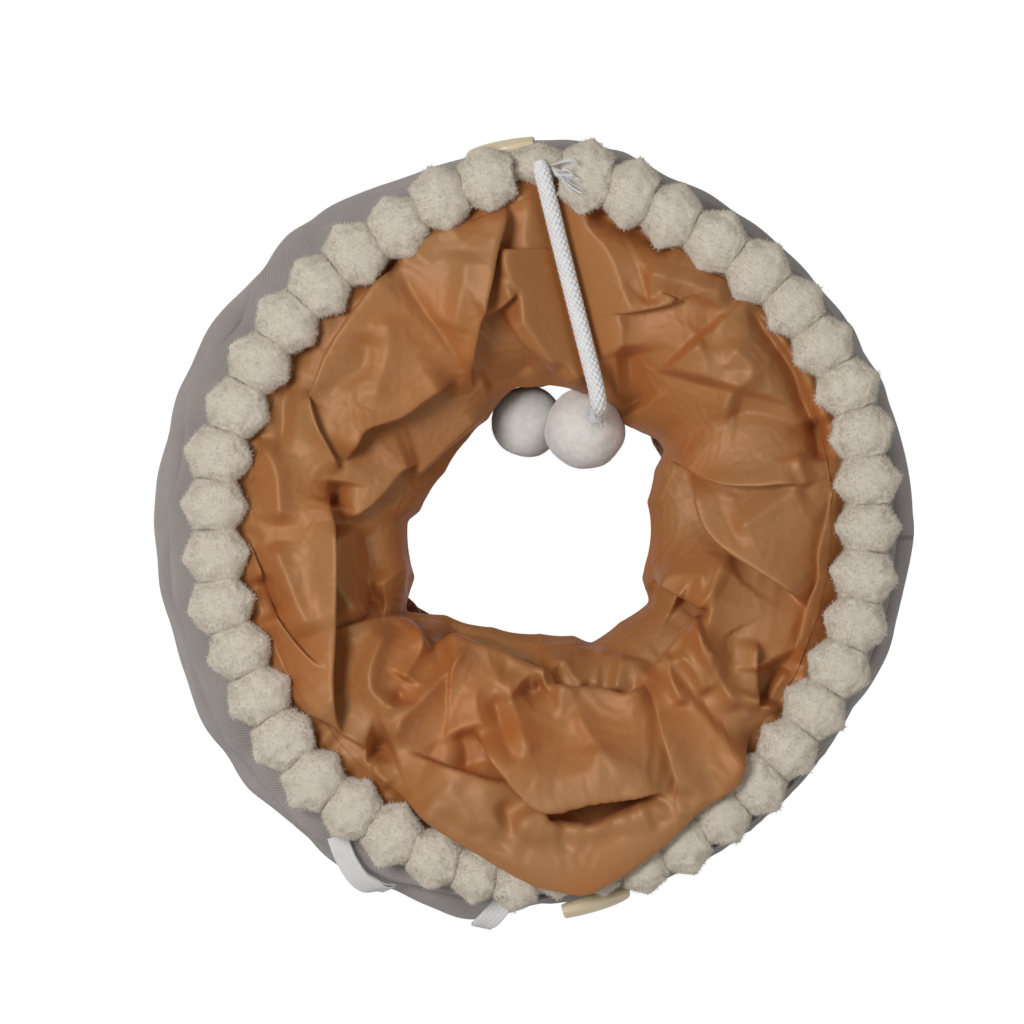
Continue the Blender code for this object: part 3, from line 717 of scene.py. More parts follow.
# The tan is the cloth's own in random patches and a painted sheen where the cloth faces the view; the orange
# on the slopes is partly painted shade.
LINING_ORANGE = (0.430, 0.138, 0.032)
LINING_TAN_AND_SHEEN = (0.375, 0.170, 0.058)
LINING_GLOSS_ROUGHNESS = 0.51
LINING_METALLIC = 0.12
LINING_PATCHES = (16.0, 2.0, 0.5)
LINING_SHEEN_PATCHES = (60.0, 2.0, 0.5)
LINING_CREASES = 48.0
LINING_THREADS = 1500.0
LINING_GROWTH = 0.012
LINING_HOLD = 0.30
LINING_CRUSH = 0.0003
LINING_FRAMES = 20
LOWER_COLUMNS = 288
LOWER_ROWS = 36
LOWER_HOLE_RADIUS = 0.0585
LOWER_HOLE_CENTRE = (0.0, 0.004)
LOWER_GAP = 0.0042
SECOND_HOLE_EASE = 0.0036


def periodic(angles, points, centre):
    """The radius about a centre, at each angle, of a closed outline given by its points."""
    offset = np.asarray(points) - np.asarray(centre)
    turn = np.mod(np.arctan2(offset[:, 1], offset[:, 0]), 2 * math.pi)
    order = np.argsort(turn)
    radius = np.linalg.norm(offset, axis=1)[order]
    return np.interp(np.mod(angles, 2 * math.pi), turn[order], radius, period=2 * math.pi)


def oval(angles, radii):
    """The radius of an oval with those half axes at each angle."""
    return 1.0 / np.hypot(np.cos(angles) / radii[0], np.sin(angles) / radii[1])


def smooth_step(value):
    """0 up to 0 and 1 from 1, with a soft start and end between them."""
    value = np.clip(value, 0.0, 1.0)
    return value * value * (3 - 2 * value)


def softened(values, passes):
    """Values round a closed ring, each drawn towards its neighbours."""
    for _ in range(passes):
        values = 0.5 * values + 0.25 * (np.roll(values, 1) + np.roll(values, -1))
    return values


def even_profiles(points, rows):
    """Rows evenly spaced along one smooth curve for each column. points is number by columns by 2."""
    padded = np.concatenate([2 * points[:1] - points[1:2], points, 2 * points[-1:] - points[-2:-1]])
    fine = []
    for i in range(1, len(padded) - 2):
        before, a, b, after = padded[i - 1 : i + 3]
        fine += [on_curve(before, a, b, after, t) for t in np.linspace(0, 1, 14, endpoint=False)]
    fine = np.array(fine + [points[-1]])
    steps = np.linalg.norm(np.diff(fine, axis=0), axis=2)
    along = np.concatenate([np.zeros((1, points.shape[1])), np.cumsum(steps, axis=0)])
    result = np.empty((rows, points.shape[1], 2))
    for column in range(points.shape[1]):
        places = np.linspace(0, along[-1, column], rows)
        for k in range(2):
            result[:, column, k] = np.interp(places, along[:, column], fine[:, column, k])
    return result


def near_line(places, line):
    """How far each place is from a line, positive on its left, the share along it and the way to its left."""
    best = np.full(len(places), np.inf)
    signed = np.zeros(len(places))
    share = np.zeros(len(places))
    left = np.zeros((len(places), 2))
    steps = len(line) - 1
    for i in range(steps):
        a, b = line[i], line[i + 1]
        run = b - a
        t = np.clip(((places - a) @ run) / (run @ run), 0, 1)
        gap = places - a - t[:, None] * run
        far = np.linalg.norm(gap, axis=1)
        closer = far < best
        best[closer] = far[closer]
        side = np.where(run[0] * gap[:, 1] - run[1] * gap[:, 0] >= 0, 1.0, -1.0)
        signed[closer] = (far * side)[closer]
        share[closer] = ((i + t) / steps)[closer]
        left[closer] = np.array((-run[1], run[0])) / np.linalg.norm(run)
    return signed, share, left


def folded(places, folds):
    """How the folds move cloth at each place: up, across, and how near the place is to a fold's line."""
    lift = np.zeros(len(places))
    shift = np.zeros((len(places), 2))
    held = np.zeros(len(places))
    for kind, height_mm, first_mm, second_mm, pixels in folds:
        height = FOLD_SCALE * height_mm / 1000
        first_width, second_width = first_mm / 1000, second_mm / 1000
        points = plane_points(pixels)
        line = smooth_route([(x, y, 0.0) for x, y in points], 0.003)[:, :2]
        reach = 3.2 * max(first_width, second_width)
        close = np.all((places > line.min(0) - reach) & (places < line.max(0) + reach), axis=1)
        if not close.any():
            continue
        signed, share, left = near_line(places[close], line)
        ends = smooth_step(share / 0.18) * smooth_step((1 - share) / 0.18)
        beyond = np.abs(signed)
        if kind in ("over_left", "over_right"):
            way = 1.0 if kind == "over_left" else -1.0
            upper = signed * way > 0
            width = np.where(upper, first_width, second_width)
            fall = np.exp(-((beyond / width) ** 1.3))
            step = np.tanh(signed * way / OVERLAP_EDGE)
            lift[close] += ends * height * fall * (0.18 + 0.62 * step)
            pull = -OVERLAP_PULL * height * step * np.exp(-beyond / 0.005) * way
            shift[close] += left * (ends * pull)[:, None]
        else:
            width = np.where(signed > 0, first_width, second_width)
            fall = np.exp(-((beyond / width) ** 1.25))
            lift[close] += ends * height * fall * (1.0 if kind == "ridge" else -1.0)
        held[close] = np.maximum(held[close], ends * np.exp(-((beyond / 0.0025) ** 2)))
    return lift, shift, held


def crushed(x, y, seed, fine):
    """The sharp creases of crushed taffeta, as a height from about -1 to 1. fine weighs the smallest ones."""
    warp_x = x + 0.006 * ripples(x, y, 0.045, seed + 1)
    warp_y = y + 0.006 * ripples(x, y, 0.045, seed + 2)
    total = np.zeros_like(x)
    for size, weight, step in ((0.040, 1.0, 3), (0.022, 0.7, 4), (0.012, 0.38 * fine, 5)):
        total += weight * (0.5 - np.abs(ripples(warp_x, warp_y, size, seed + step, 9)))
    return total


def grid_faces(rows, columns):
    """Quads of a grid of rows round a ring, facing up where rows run inwards and columns anticlockwise."""
    faces = []
    for r in range(rows - 1):
        for c in range(columns):
            n = (c + 1) % columns
            faces.append(((r + 1) * columns + c, (r + 1) * columns + n, r * columns + n, r * columns + c))
    return faces


def make_pleat_opener():
    """Draws a folded panel out straight as its two hoops part. At rest it moves nothing."""
    inputs = (("Geometry", "Geometry"), ("Upper hoop", "Object"), ("Lower hoop", "Object"))
    group, given, result = new_group("open_pleat", inputs, (("Geometry", "Geometry"),), "GeometryNodeTree")

    def height(name):
        info = group.nodes.new("GeometryNodeObjectInfo")
        group.links.new(given[name], info.inputs["Object"])
        parts = group.nodes.new("ShaderNodeSeparateXYZ")
        group.links.new(info.outputs["Location"], parts.inputs[0])
        return parts.outputs["Z"]

    def stored(name, kind):
        node = group.nodes.new("GeometryNodeInputNamedAttribute")
        node.data_type = kind
        node.inputs["Name"].default_value = name
        return node.outputs["Attribute"]

    gap = worked_out(group, "SUBTRACT", height("Lower hoop"), height("Upper hoop"))
    opened = group.nodes.new("ShaderNodeVectorMath")
    opened.operation = "SCALE"
    group.links.new(stored("opening", "FLOAT_VECTOR"), opened.inputs[0])
    group.links.new(worked_out(group, "MULTIPLY", gap, -1.0 / OPEN_TRAVEL), opened.inputs["Scale"])
    down = group.nodes.new("ShaderNodeCombineXYZ")
    group.links.new(worked_out(group, "MULTIPLY", stored("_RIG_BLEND", "FLOAT"), gap), down.inputs["Z"])
    total = group.nodes.new("ShaderNodeVectorMath")
    total.operation = "SUBTRACT"
    group.links.new(opened.outputs[0], total.inputs[0])
    group.links.new(down.outputs[0], total.inputs[1])
    move = group.nodes.new("GeometryNodeSetPosition")
    group.links.new(given["Geometry"], move.inputs["Geometry"])
    group.links.new(total.outputs[0], move.inputs["Offset"])
    group.links.new(move.outputs["Geometry"], result["Geometry"])
    return group


open_pleat = make_pleat_opener()


def store_vectors(mesh, name, vectors):
    """Keeps one vector for each vertex of the mesh, under that name."""
    attribute = mesh.attributes.new(name, "FLOAT_VECTOR", "POINT")
    attribute.data.foreach_set("vector", np.asarray(vectors, np.float32).ravel())


def hang_between(piece, number, opened):
    """The piece gets a finer surface, follows the hoop of that number above and the next one below, and opens
    to the given places between them."""
    coarse = piece.data
    store_vectors(coarse, "opened_place", opened)
    finer = piece.modifiers.new("finer", "SUBSURF")
    finer.levels = 1
    graph = bpy.context.evaluated_depsgraph_get()
    made = piece.evaluated_get(graph)
    mesh = bpy.data.meshes.new_from_object(made, preserve_all_data_layers=True, depsgraph=graph)
    piece.modifiers.remove(finer)
    piece.data = mesh
    bpy.data.meshes.remove(coarse)
    rest, places = np.empty(len(mesh.vertices) * 3), np.empty(len(mesh.vertices) * 3)
    mesh.vertices.foreach_get("co", rest)
    mesh.attributes["opened_place"].data.foreach_get("vector", places)
    store_vectors(mesh, "opening", places - rest)
    upper, lower = HOOP_BODIES[number - 1], HOOP_BODIES[number]
    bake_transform(piece, upper, lower, (0, 0, HOOP_HEIGHTS[number - 1]), (0, 0, HOOP_HEIGHTS[number]))
    modifier = piece.modifiers.new("open_pleat", "NODES")
    modifier.node_group = open_pleat
    hoops = {"Upper hoop": upper, "Lower hoop": lower}
    for item in open_pleat.interface.items_tree:
        if item.name in hoops:
            modifier[item.identifier] = frame["bodies"][hoops[item.name]]


def hoop_radii(number):
    """A hoop's half axes and its middle."""
    if number == 1:
        return NEAR_HOOP_RADII, RIM_CENTRE
    if number == len(HOOP_HEIGHTS):
        return FAR_HOOP_RADII, (0.0, 0.0)
    return MIDDLE_HOOP_RADII, (0.0, 0.0)


def drawn_out(number, angles, shares, inset, hollow, seed):
    """Where a panel's points lie when its hoops are as far apart as they go and the upper one is where it
    rests: inset from the hoops at both ends, and by hollow more halfway."""
    (upper, upper_centre), (lower, lower_centre) = hoop_radii(number), hoop_radii(number + 1)
    start = oval(angles, upper) - inset
    end = oval(angles, lower) - inset
    radius = start + (end - start) * shares
    waist = 4 * shares * (1 - shares)
    radius = radius - waist * hollow * (1 + 0.5 * ripples(angles * 0.13, shares * 0.17, 0.05, seed))
    radius = radius + waist * 0.0016 * ripples(angles * 0.13, shares * 0.03, 0.022, seed + 1)
    x = radius * np.cos(angles) + upper_centre[0] + (lower_centre[0] - upper_centre[0]) * shares
    y = radius * np.sin(angles) + upper_centre[1] + (lower_centre[1] - upper_centre[1]) * shares
    top, bottom = HOOP_HEIGHTS[number - 1], HOOP_HEIGHTS[number] - OPEN_TRAVEL
    return np.stack([x, y, top + (bottom - top) * shares], axis=-1)


def cloth_places(mesh, around, along):
    """Stores each point's place on the flat cloth, in metres, for the weave to follow."""
    store_vectors(mesh, "cloth_place", np.stack([around, along, np.zeros_like(around)], axis=-1))


def cloth_place(tree):
    node = tree.nodes.new("ShaderNodeAttribute")
    node.attribute_name = "cloth_place"
    return node.outputs["Vector"]


def make_crease_group():
    """Crushed taffeta close up, as a height: soft hollows, sharp creases and the grain of its threads."""
    inputs = (("Place", "Vector"), ("Creases per metre", "Float"), ("Threads per metre", "Float"))
    group, given, result = new_group("taffeta_creases", inputs, (("Height", "Float"),))
    total = 0.0
    for kind, socket, detail, weight in (
        ("FBM", "Creases per metre", 2.0, 0.5),
        ("RIDGED_MULTIFRACTAL", "Creases per metre", 3.0, -0.16),
        ("FBM", "Threads per metre", 2.0, 0.05),
    ):
        noise = group.nodes.new("ShaderNodeTexNoise")
        noise.noise_type = kind
        noise.inputs["Detail"].default_value = detail
        noise.inputs["Roughness"].default_value = 0.5
        group.links.new(given["Place"], noise.inputs["Vector"])
        group.links.new(given[socket], noise.inputs["Scale"])
        total = worked_out(group, "MULTIPLY_ADD", noise.outputs["Fac"], weight, total)
    group.links.new(total, result["Height"])
    return group


taffeta_creases = make_crease_group()


def taffeta_material():
    """Shot taffeta, with orange threads one way and tan ones across: its colour turns with the folds, and the
    tan on cloth that faces the view is also painted sheen, the orange on its slopes painted shade.
    """
    material, tree, shader = new_material("lining_taffeta", LINING_GLOSS_ROUGHNESS, sheen=0.04, specular=0.35)
    shader.inputs["Metallic"].default_value = LINING_METALLIC
    place = own_place(tree)
    # The colour turns tan where the cloth faces the view, a painted sheen, and orange on its slopes, a
    # painted deeper shade; the patches add tone that differs at random.
    turned = tree.nodes.new("ShaderNodeLayerWeight")
    turned.inputs["Blend"].default_value = 0.45
    patches = clumps(tree, place, *LINING_PATCHES)
    both = worked_out(tree, "MULTIPLY_ADD", turned.outputs["Facing"], 0.55, patches)
    dyed_and_shaded(tree, shader, both, 0.45, 0.90, LINING_TAN_AND_SHEEN, LINING_ORANGE)
    gloss = tree.nodes.new("ShaderNodeMapRange")
    gloss.inputs["To Min"].default_value = LINING_GLOSS_ROUGHNESS - 0.05
    gloss.inputs["To Max"].default_value = LINING_GLOSS_ROUGHNESS + 0.08
    tree.links.new(clumps(tree, place, *LINING_SHEEN_PATCHES), gloss.inputs["Value"])
    tree.links.new(gloss.outputs["Result"], shader.inputs["Roughness"])
    creases = placed(
        tree, taffeta_creases, Place=place, Creases_per_metre=LINING_CREASES, Threads_per_metre=LINING_THREADS
    )
    add_bump(tree, shader, creases["Height"], 0.34, 0.0011)
    return material


def lay_cloth(piece, growth, hold, frames):
    """Lets the cloth find its own small folds: it grows a little longer than the space it lies in. The
    simulation is applied, and each point stays near its place by its weight in the group that holds it."""
    simulation = piece.modifiers.new("cloth", "CLOTH")
    cloth = simulation.settings
    cloth.quality = 6
    cloth.mass = 0.12
    cloth.tension_stiffness = 12.0
    cloth.compression_stiffness = 12.0
    cloth.shear_stiffness = 4.0
    cloth.bending_stiffness = 4.0
    cloth.air_damping = 2.0
    cloth.shrink_min = -growth
    cloth.effector_weights.gravity = 0.0
    group = piece.vertex_groups.new(name="held")
    for level in np.unique(np.round(hold, 2)):
        members = np.flatnonzero(np.abs(np.round(hold, 2) - level) < 0.001)
        group.add(members.tolist(), float(level), "REPLACE")
    cloth.vertex_group_mass = "held"
    cloth.pin_stiffness = 1.0
    simulation.collision_settings.use_collision = False
    scene = bpy.context.scene
    scene.frame_start, scene.frame_end = 1, frames
    simulation.point_cache.frame_start, simulation.point_cache.frame_end = 1, frames
    for number in range(1, frames + 1):
        scene.frame_set(number)
    seen = piece.evaluated_get(bpy.context.evaluated_depsgraph_get())
    places = np.empty(len(seen.data.vertices) * 3)
    seen.data.vertices.foreach_get("co", places)
    piece.modifiers.remove(simulation)
    piece.data.vertices.foreach_set("co", places)
    piece.data.update()
    scene.frame_set(1)


def below(heights, ceiling, softening):
    """Heights brought down to stay under a ceiling, starting softly that far beneath it."""
    over = np.maximum(0, heights - ceiling + softening)
    return np.where(over > 0, heights - over**2 / (over + softening), heights)


def pressed(x, y, z):
    """The cloth's height where the rope lies on it: no higher than the rope's underside, rising beside it."""
    plan = np.stack([x.ravel(), y.ravel()], axis=1)
    line = rope_line[rope_line[:, 2] > ROPE_PRESSES_ABOVE]
    aside, share, _ = near_line(plan, line[::6, :2])
    beneath = np.interp(share, np.linspace(0, 1, len(line)), line[:, 2]) - ROPE_DIAMETER / 2 - ROPE_BED
    ceiling = beneath + 0.8 * np.maximum(0, np.abs(aside) - ROPE_DIAMETER / 2)
    return below(z, ceiling.reshape(z.shape), 0.002)


def make_top_lining(material):
    """The panel that shows, from the rim in to the hole's edge and back out beneath to the second hoop."""
    angles = np.arange(TOP_COLUMNS) * 2 * math.pi / TOP_COLUMNS
    centre = np.array(RIM_CENTRE)
    start = oval(angles, NEAR_HOOP_RADII) - LINING_START_INSET
    degrees = np.degrees(angles)
    start = start + ROPE_SEAM_OUTSET * np.exp(-(((degrees - ROPE_SEAM_DEG) / ROPE_SEAM_WIDTH_DEG) ** 2))
    hole = softened(periodic(angles, plane_points(HOLE_PIXELS), centre), 3)
    over = softened(periodic(angles, plane_points(OVERHANG_PIXELS), centre), 6)
    inner = start - POMPOM_INNER_INSET
    bulge = smooth_step((degrees - OVERHANG_FROM_DEG) / OVERHANG_FADE_DEG)
    bulge = bulge * smooth_step((OVERHANG_TO_DEG - degrees) / OVERHANG_FADE_DEG)
    reach = np.maximum(0, over - inner) * bulge
    raised = smooth_step(reach / 0.007)
    puffed = smooth_step((degrees - PUFFED_FROM_DEG) / PUFFED_IN_DEG)
    puffed = puffed * smooth_step((PUFFED_TO_DEG - degrees) / PUFFED_OUT_DEG)
    profile = []
    for (share, height), lift in zip(RIM_PROFILE, BULGE_RAISES):
        profile.append((start + (hole - start) * share, height + lift * np.maximum(raised, 0.8 * puffed)))
        if share == BULGE_FIRST_ROW:
            for out, level in OVERHANG_PROFILE:
                profile.append((inner + reach * out, height + (level - height) * raised))
    points = np.array([np.stack([r, z + 0 * angles], axis=-1) for r, z in profile])
    section = even_profiles(points, TOP_ROWS)
    radius, z = section[:, :, 0], section[:, :, 1]
    x = centre[0] + radius * np.cos(angles)
    y = centre[1] + radius * np.sin(angles)
    places = np.stack([x.ravel(), y.ravel()], axis=1)
    lift, shift, held = folded(places, FOLDS)
    row_share = np.repeat(np.linspace(0, 1, TOP_ROWS)[:, None], TOP_COLUMNS, axis=1)
    inward = np.maximum(0, start[None, :] - radius)
    free = smooth_step((inward - 0.002) / 0.009) * (1 - 0.5 * smooth_step((row_share - 0.92) / 0.08))
    beneath = np.arange(TOP_ROWS)[:, None] <= np.argmax(radius + 1e-3 * (z > 0.129), axis=0)[None, :]
    free = np.where(beneath & (raised > 0.01)[None, :], 0.0, free)
    wrinkle = crushed(x, y, 40, 0.3) * LINING_CRUSH * free
    turn = np.repeat(angles[None, :], TOP_ROWS, 0)
    gathers = GATHER_HEIGHT * ripples(turn * 0.12, radius * 0.12, GATHER_SPACING, 55)
    gathers = gathers * smooth_step(inward / 0.002) * (1 - smooth_step((inward - 0.005) / 0.010))
    x = x + shift[:, 0].reshape(x.shape) * free
    y = y + shift[:, 1].reshape(y.shape) * free
    z = z + lift.reshape(z.shape) * free + wrinkle + gathers
    z = pressed(x, y, below(z, LINING_TOP, LINING_TOP_SOFTENING))
    upper = np.stack([x, y, z], axis=-1)
    edge = upper[-1]
    second = oval(angles, MIDDLE_HOOP_RADII) - UNDER_END_INSET
    target = np.stack([second * np.cos(angles), second * np.sin(angles),
                       np.full(TOP_COLUMNS, HOOP_HEIGHTS[1] + UNDER_END_RISE)], axis=-1)
    under = []
    for t in np.linspace(0, 1, UNDER_ROWS + 1)[1:]:
        point = edge + (target - edge) * (1 - (1 - t) ** 1.1)
        dropped = edge[:, 2] - UNDER_DROP * math.sin(math.pi * min(1.0, t * 6) / 2)
        point[:, 2] = dropped + (target[:, 2] - dropped) * smooth_step(t * UNDER_STEEPNESS)
        point[:, 2] += 0.0012 * math.sin(math.pi * t) * ripples(angles * 0.1, angles * 0.0, 0.02, 61)
        under.append(point)
    points = np.vstack([upper.reshape(-1, 3), np.array(under).reshape(-1, 3)])
    rows = TOP_ROWS + UNDER_ROWS
    piece = new_piece("lining_panel_1_taffeta", points, grid_faces(rows, TOP_COLUMNS), material)
    hold = np.ones((rows, TOP_COLUMNS))
    soft = LINING_HOLD + (0.9 - LINING_HOLD) * held.reshape(TOP_ROWS, TOP_COLUMNS)
    hold[:TOP_ROWS] = np.where(row_share < 0.03, 1.0, np.clip(soft, 0, 1))
    hold[:TOP_ROWS] = np.maximum(hold[:TOP_ROWS], 0.5 * smooth_step((row_share - 0.9) / 0.1))
    lay_cloth(piece, LINING_GROWTH, hold.ravel(), LINING_FRAMES)
    finish_panel(piece, 1, angles, rows, LINING_START_INSET, 70)
    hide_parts("lining_panel_1")


def finish_panel(piece, number, angles, rows, inset, seed):
    """The panel's flat places, its opening shape and its hoops."""
    share = np.repeat(np.linspace(0, 1, rows)[:, None], len(angles), axis=1)
    turn = np.repeat(angles[None, :], rows, axis=0)
    cloth_places(piece.data, turn * LINING_CUT[0] / (2 * math.pi), share * LINING_CUT[1])
    opened = drawn_out(number, turn, share, inset, OPEN_LINING_WAIST, seed)
    hang_between(piece, number, opened)


def make_lower_lining(number, material):
    """A panel below the top one: a loose pleat that runs in to the hole and back out to the next hoop."""
    angles = np.arange(LOWER_COLUMNS) * 2 * math.pi / LOWER_COLUMNS
    (upper, upper_centre), (lower, lower_centre) = hoop_radii(number), hoop_radii(number + 1)
    top, bottom = HOOP_HEIGHTS[number - 1] - LOWER_GAP, HOOP_HEIGHTS[number] + LOWER_GAP
    hole_x = LOWER_HOLE_CENTRE[0] + LOWER_HOLE_RADIUS * np.cos(angles)
    hole_y = LOWER_HOLE_CENTRE[1] + LOWER_HOLE_RADIUS * np.sin(angles)
    wave = 0.0022 * ripples(angles * 0.06, angles * 0.0 + number, 0.030, 80 + number)
    if number == 2:
        seen = softened(periodic(angles, plane_points(HOLE_PIXELS), RIM_CENTRE), 5) + SECOND_HOLE_EASE
        balls = smooth_step((np.sin(angles) - 0.45) / 0.25)
        seen = np.maximum(seen, LOWER_HOLE_RADIUS * balls)
        hole_x, hole_y = RIM_CENTRE[0] + seen * np.cos(angles), RIM_CENTRE[1] + seen * np.sin(angles)
        wave = 0.4 * wave
    rows = []
    for share in np.linspace(0, 1, LOWER_ROWS):
        inward = math.sin(math.pi * share) ** 0.8
        first = share < 0.5
        radii, middle = (upper, upper_centre) if first else (lower, lower_centre)
        start = oval(angles, radii) - UNDER_END_INSET
        start_x, start_y = middle[0] + start * np.cos(angles), middle[1] + start * np.sin(angles)
        x = start_x + (hole_x + wave * np.cos(angles) - start_x) * inward
        y = start_y + (hole_y + wave * np.sin(angles) - start_y) * inward
        z = top + (bottom - top) * smooth_step(share) + 0.0012 * inward * crushed(x, y, 90 + number, 0.5)
        z += 0.0046 * inward**0.5 * ripples(angles * 0.1, angles * 0.0 + share * 0.01, 0.011, 95 + number)
        rows.append(np.stack([x, y, z], axis=-1))
    points = np.array(rows).reshape(-1, 3)
    name = f"lining_panel_{number}_taffeta"
    piece = new_piece(name, points, grid_faces(LOWER_ROWS, LOWER_COLUMNS), material)
    finish_panel(piece, number, angles, LOWER_ROWS, UNDER_END_INSET, 70 + number)
    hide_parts(f"lining_panel_{number}")


taffeta = taffeta_material()
make_top_lining(taffeta)
for number in range(2, len(HOOP_HEIGHTS)):
    make_lower_lining(number, taffeta)


# Hoops
# Six rings of sprung steel wire, each crimped in a sleeve and held in a sewn casing of the cover's twill. The
# wires and sleeves are the frame's own solids, and the casings are finer tubes with a raised seam.
STEEL_COLOUR = (0.50, 0.51, 0.53)
CASING_TUBE_RADIUS = 0.0037
CASING_COLUMNS = 320
CASING_SIDES = 14
CASING_PUCKER = 0.00022
CASING_SEAM_RISE = 0.0005
METRES_PER_RADIAN = 0.14
STEEL_PATCHES = (90.0, 3.0, 0.5)
STEEL_GRAIN = (2500.0, 3.0, 0.5)
# TWILL_COLOUR, darkened, is painted shade in the weave's grooves, and TWILL_PALE is painted light on its
# raised threads.
TWILL_COLOUR = (0.330, 0.288, 0.272)
TWILL_PALE = (0.445, 0.402, 0.383)
TWILL_PITCH = 0.00092
TWILL_PATCHES = (45.0, 4.0, 0.5)
DYE_DARK, DYE_PALE = (0.90, 0.90, 0.90), (1.06, 1.05, 1.04)


def make_weave_group():
    """A diagonal twill over the flat cloth, as a height from 0 in its grooves to 1 on its raised threads."""
    inputs = (("Place", "Vector"), ("Pitch", "Float"))
    group, given, result = new_group("diagonal_twill", inputs, (("Height", "Float"),))
    parts = group.nodes.new("ShaderNodeSeparateXYZ")
    group.links.new(given["Place"], parts.inputs[0])

    def waves(first, second, share):
        """Stripes across first + share times second, a pitch apart."""
        run = worked_out(group, "ADD", first, worked_out(group, "MULTIPLY", second, share))
        turns = worked_out(group, "DIVIDE", run, given["Pitch"])
        return worked_out(group, "SINE", worked_out(group, "MULTIPLY", turns, 2 * math.pi))

    ribs = waves(parts.outputs["X"], parts.outputs["Y"], 1.0)
    threads = waves(parts.outputs["Y"], parts.outputs["X"], -0.35)
    spread = group.nodes.new("ShaderNodeMapRange")
    spread.inputs["From Min"].default_value = -1.35
    spread.inputs["From Max"].default_value = 1.35
    group.links.new(worked_out(group, "MULTIPLY_ADD", threads, 0.35, ribs), spread.inputs["Value"])
    group.links.new(spread.outputs["Result"], result["Height"])
    return group


diagonal_twill = make_weave_group()


def twill_material():
    """Brushed cotton twill: fine diagonal ribs with painted shade in their grooves and painted light on their
    raised threads, and a slightly uneven dye.
    """
    material, tree, shader = new_material("cover_twill", 0.88, sheen=0.18, specular=0.25)
    weave = placed(tree, diagonal_twill, Place=cloth_place(tree), Pitch=TWILL_PITCH)["Height"]
    # Painted shade in the weave's grooves and painted light on its raised threads.
    ribs = placed(
        tree, dyes_and_shades, Value=weave, Low=0.1, High=0.9, Dark=scaled(TWILL_COLOUR, 0.66), Pale=TWILL_PALE
    )
    patches = clumps(tree, own_place(tree), *TWILL_PATCHES)
    dye = placed(tree, dyes_and_shades, Value=patches, Low=0.3, High=0.7, Dark=DYE_DARK, Pale=DYE_PALE)
    tint = tree.nodes.new("ShaderNodeMix")
    tint.data_type = "RGBA"
    tint.blend_type = "MULTIPLY"
    tint.inputs["Factor"].default_value = 1.0
    tree.links.new(ribs["Colour"], tint.inputs["A"])
    tree.links.new(dye["Colour"], tint.inputs["B"])
    tree.links.new(tint.outputs["Result"], shader.inputs["Base Color"])
    add_bump(tree, shader, weave, 0.7, 0.0003)
    return material


def steel_material():
    """Drawn spring steel: bare metal with a fine grain."""
    material, tree, shader = new_material("spring_steel", 0.32)
    shader.inputs["Metallic"].default_value = 1.0
    place = own_place(tree)
    dyed_and_shaded(tree, shader, clumps(tree, place, *STEEL_PATCHES), 0.3, 0.7, scaled(STEEL_COLOUR, 0.8), STEEL_COLOUR)
    add_bump(tree, shader, clumps(tree, place, *STEEL_GRAIN), 0.2, 0.0001)
    return material


def ring_faces(columns, sides):
    """Quads of a closed tube round a ring."""
    faces = []
    for c in range(columns):
        n = (c + 1) % columns
        for s in range(sides):
            t = (s + 1) % sides
            faces.append((c * sides + s, n * sides + s, n * sides + t, c * sides + t))
    return faces


def make_casing(number, material):
    """One casing, puckered along its length, with its seam on the inner side."""
    radii, middle = hoop_radii(number)
    angles = np.arange(CASING_COLUMNS) * 2 * math.pi / CASING_COLUMNS
    turns = np.arange(CASING_SIDES) * 2 * math.pi / CASING_SIDES
    angle, turn = np.meshgrid(angles, turns, indexing="ij")
    pucker = CASING_PUCKER * ripples(angle * METRES_PER_RADIAN, turn * 0.003, 0.004, 200 + number)
    seam = CASING_SEAM_RISE * np.exp(-((np.angle(np.exp(1j * (turn - math.pi))) / 0.35) ** 2))
    thick = CASING_TUBE_RADIUS + pucker + seam
    radius = oval(angle, radii) + thick * np.cos(turn)
    x = middle[0] + radius * np.cos(angle)
    y = middle[1] + radius * np.sin(angle)
    z = HOOP_HEIGHTS[number - 1] + np.minimum(thick, CASING_TUBE_RADIUS * 0.9) * np.sin(turn)
    points = np.stack([x, y, z], axis=-1).reshape(-1, 3)
    faces = ring_faces(CASING_COLUMNS, CASING_SIDES)
    piece = new_piece(f"hoop_casing_{number}_twill", points, faces, material)
    cloth_places(piece.data, angle * METRES_PER_RADIAN, turn * CASING_TUBE_RADIUS)
    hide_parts(f"hoop_casing_{number}")
    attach(piece, HOOP_BODIES[number - 1])


twill = twill_material()
steel = steel_material()
for number in range(1, len(HOOP_HEIGHTS) + 1):
    make_casing(number, twill)
    for name in (f"hoop_wire_{number}", f"hoop_sleeve_{number}"):
        for slot in frame["nodes"][name].material_slots:
            slot.material = steel


# Cover
# Five panels of grey-taupe cotton twill, each cut to 0.88 by 0.17 m and sewn between two hoop casings. Folded
# flat, a panel rolls out over the hoop below it, tucks deep in between the hoops, and comes back to its seam.
COVER_CUT = (0.88, 0.170)
COVER_COLUMNS = 420
COVER_ROWS = 56
COVER_OUTSET = 0.0016
OPEN_COVER_WAIST = 0.0012
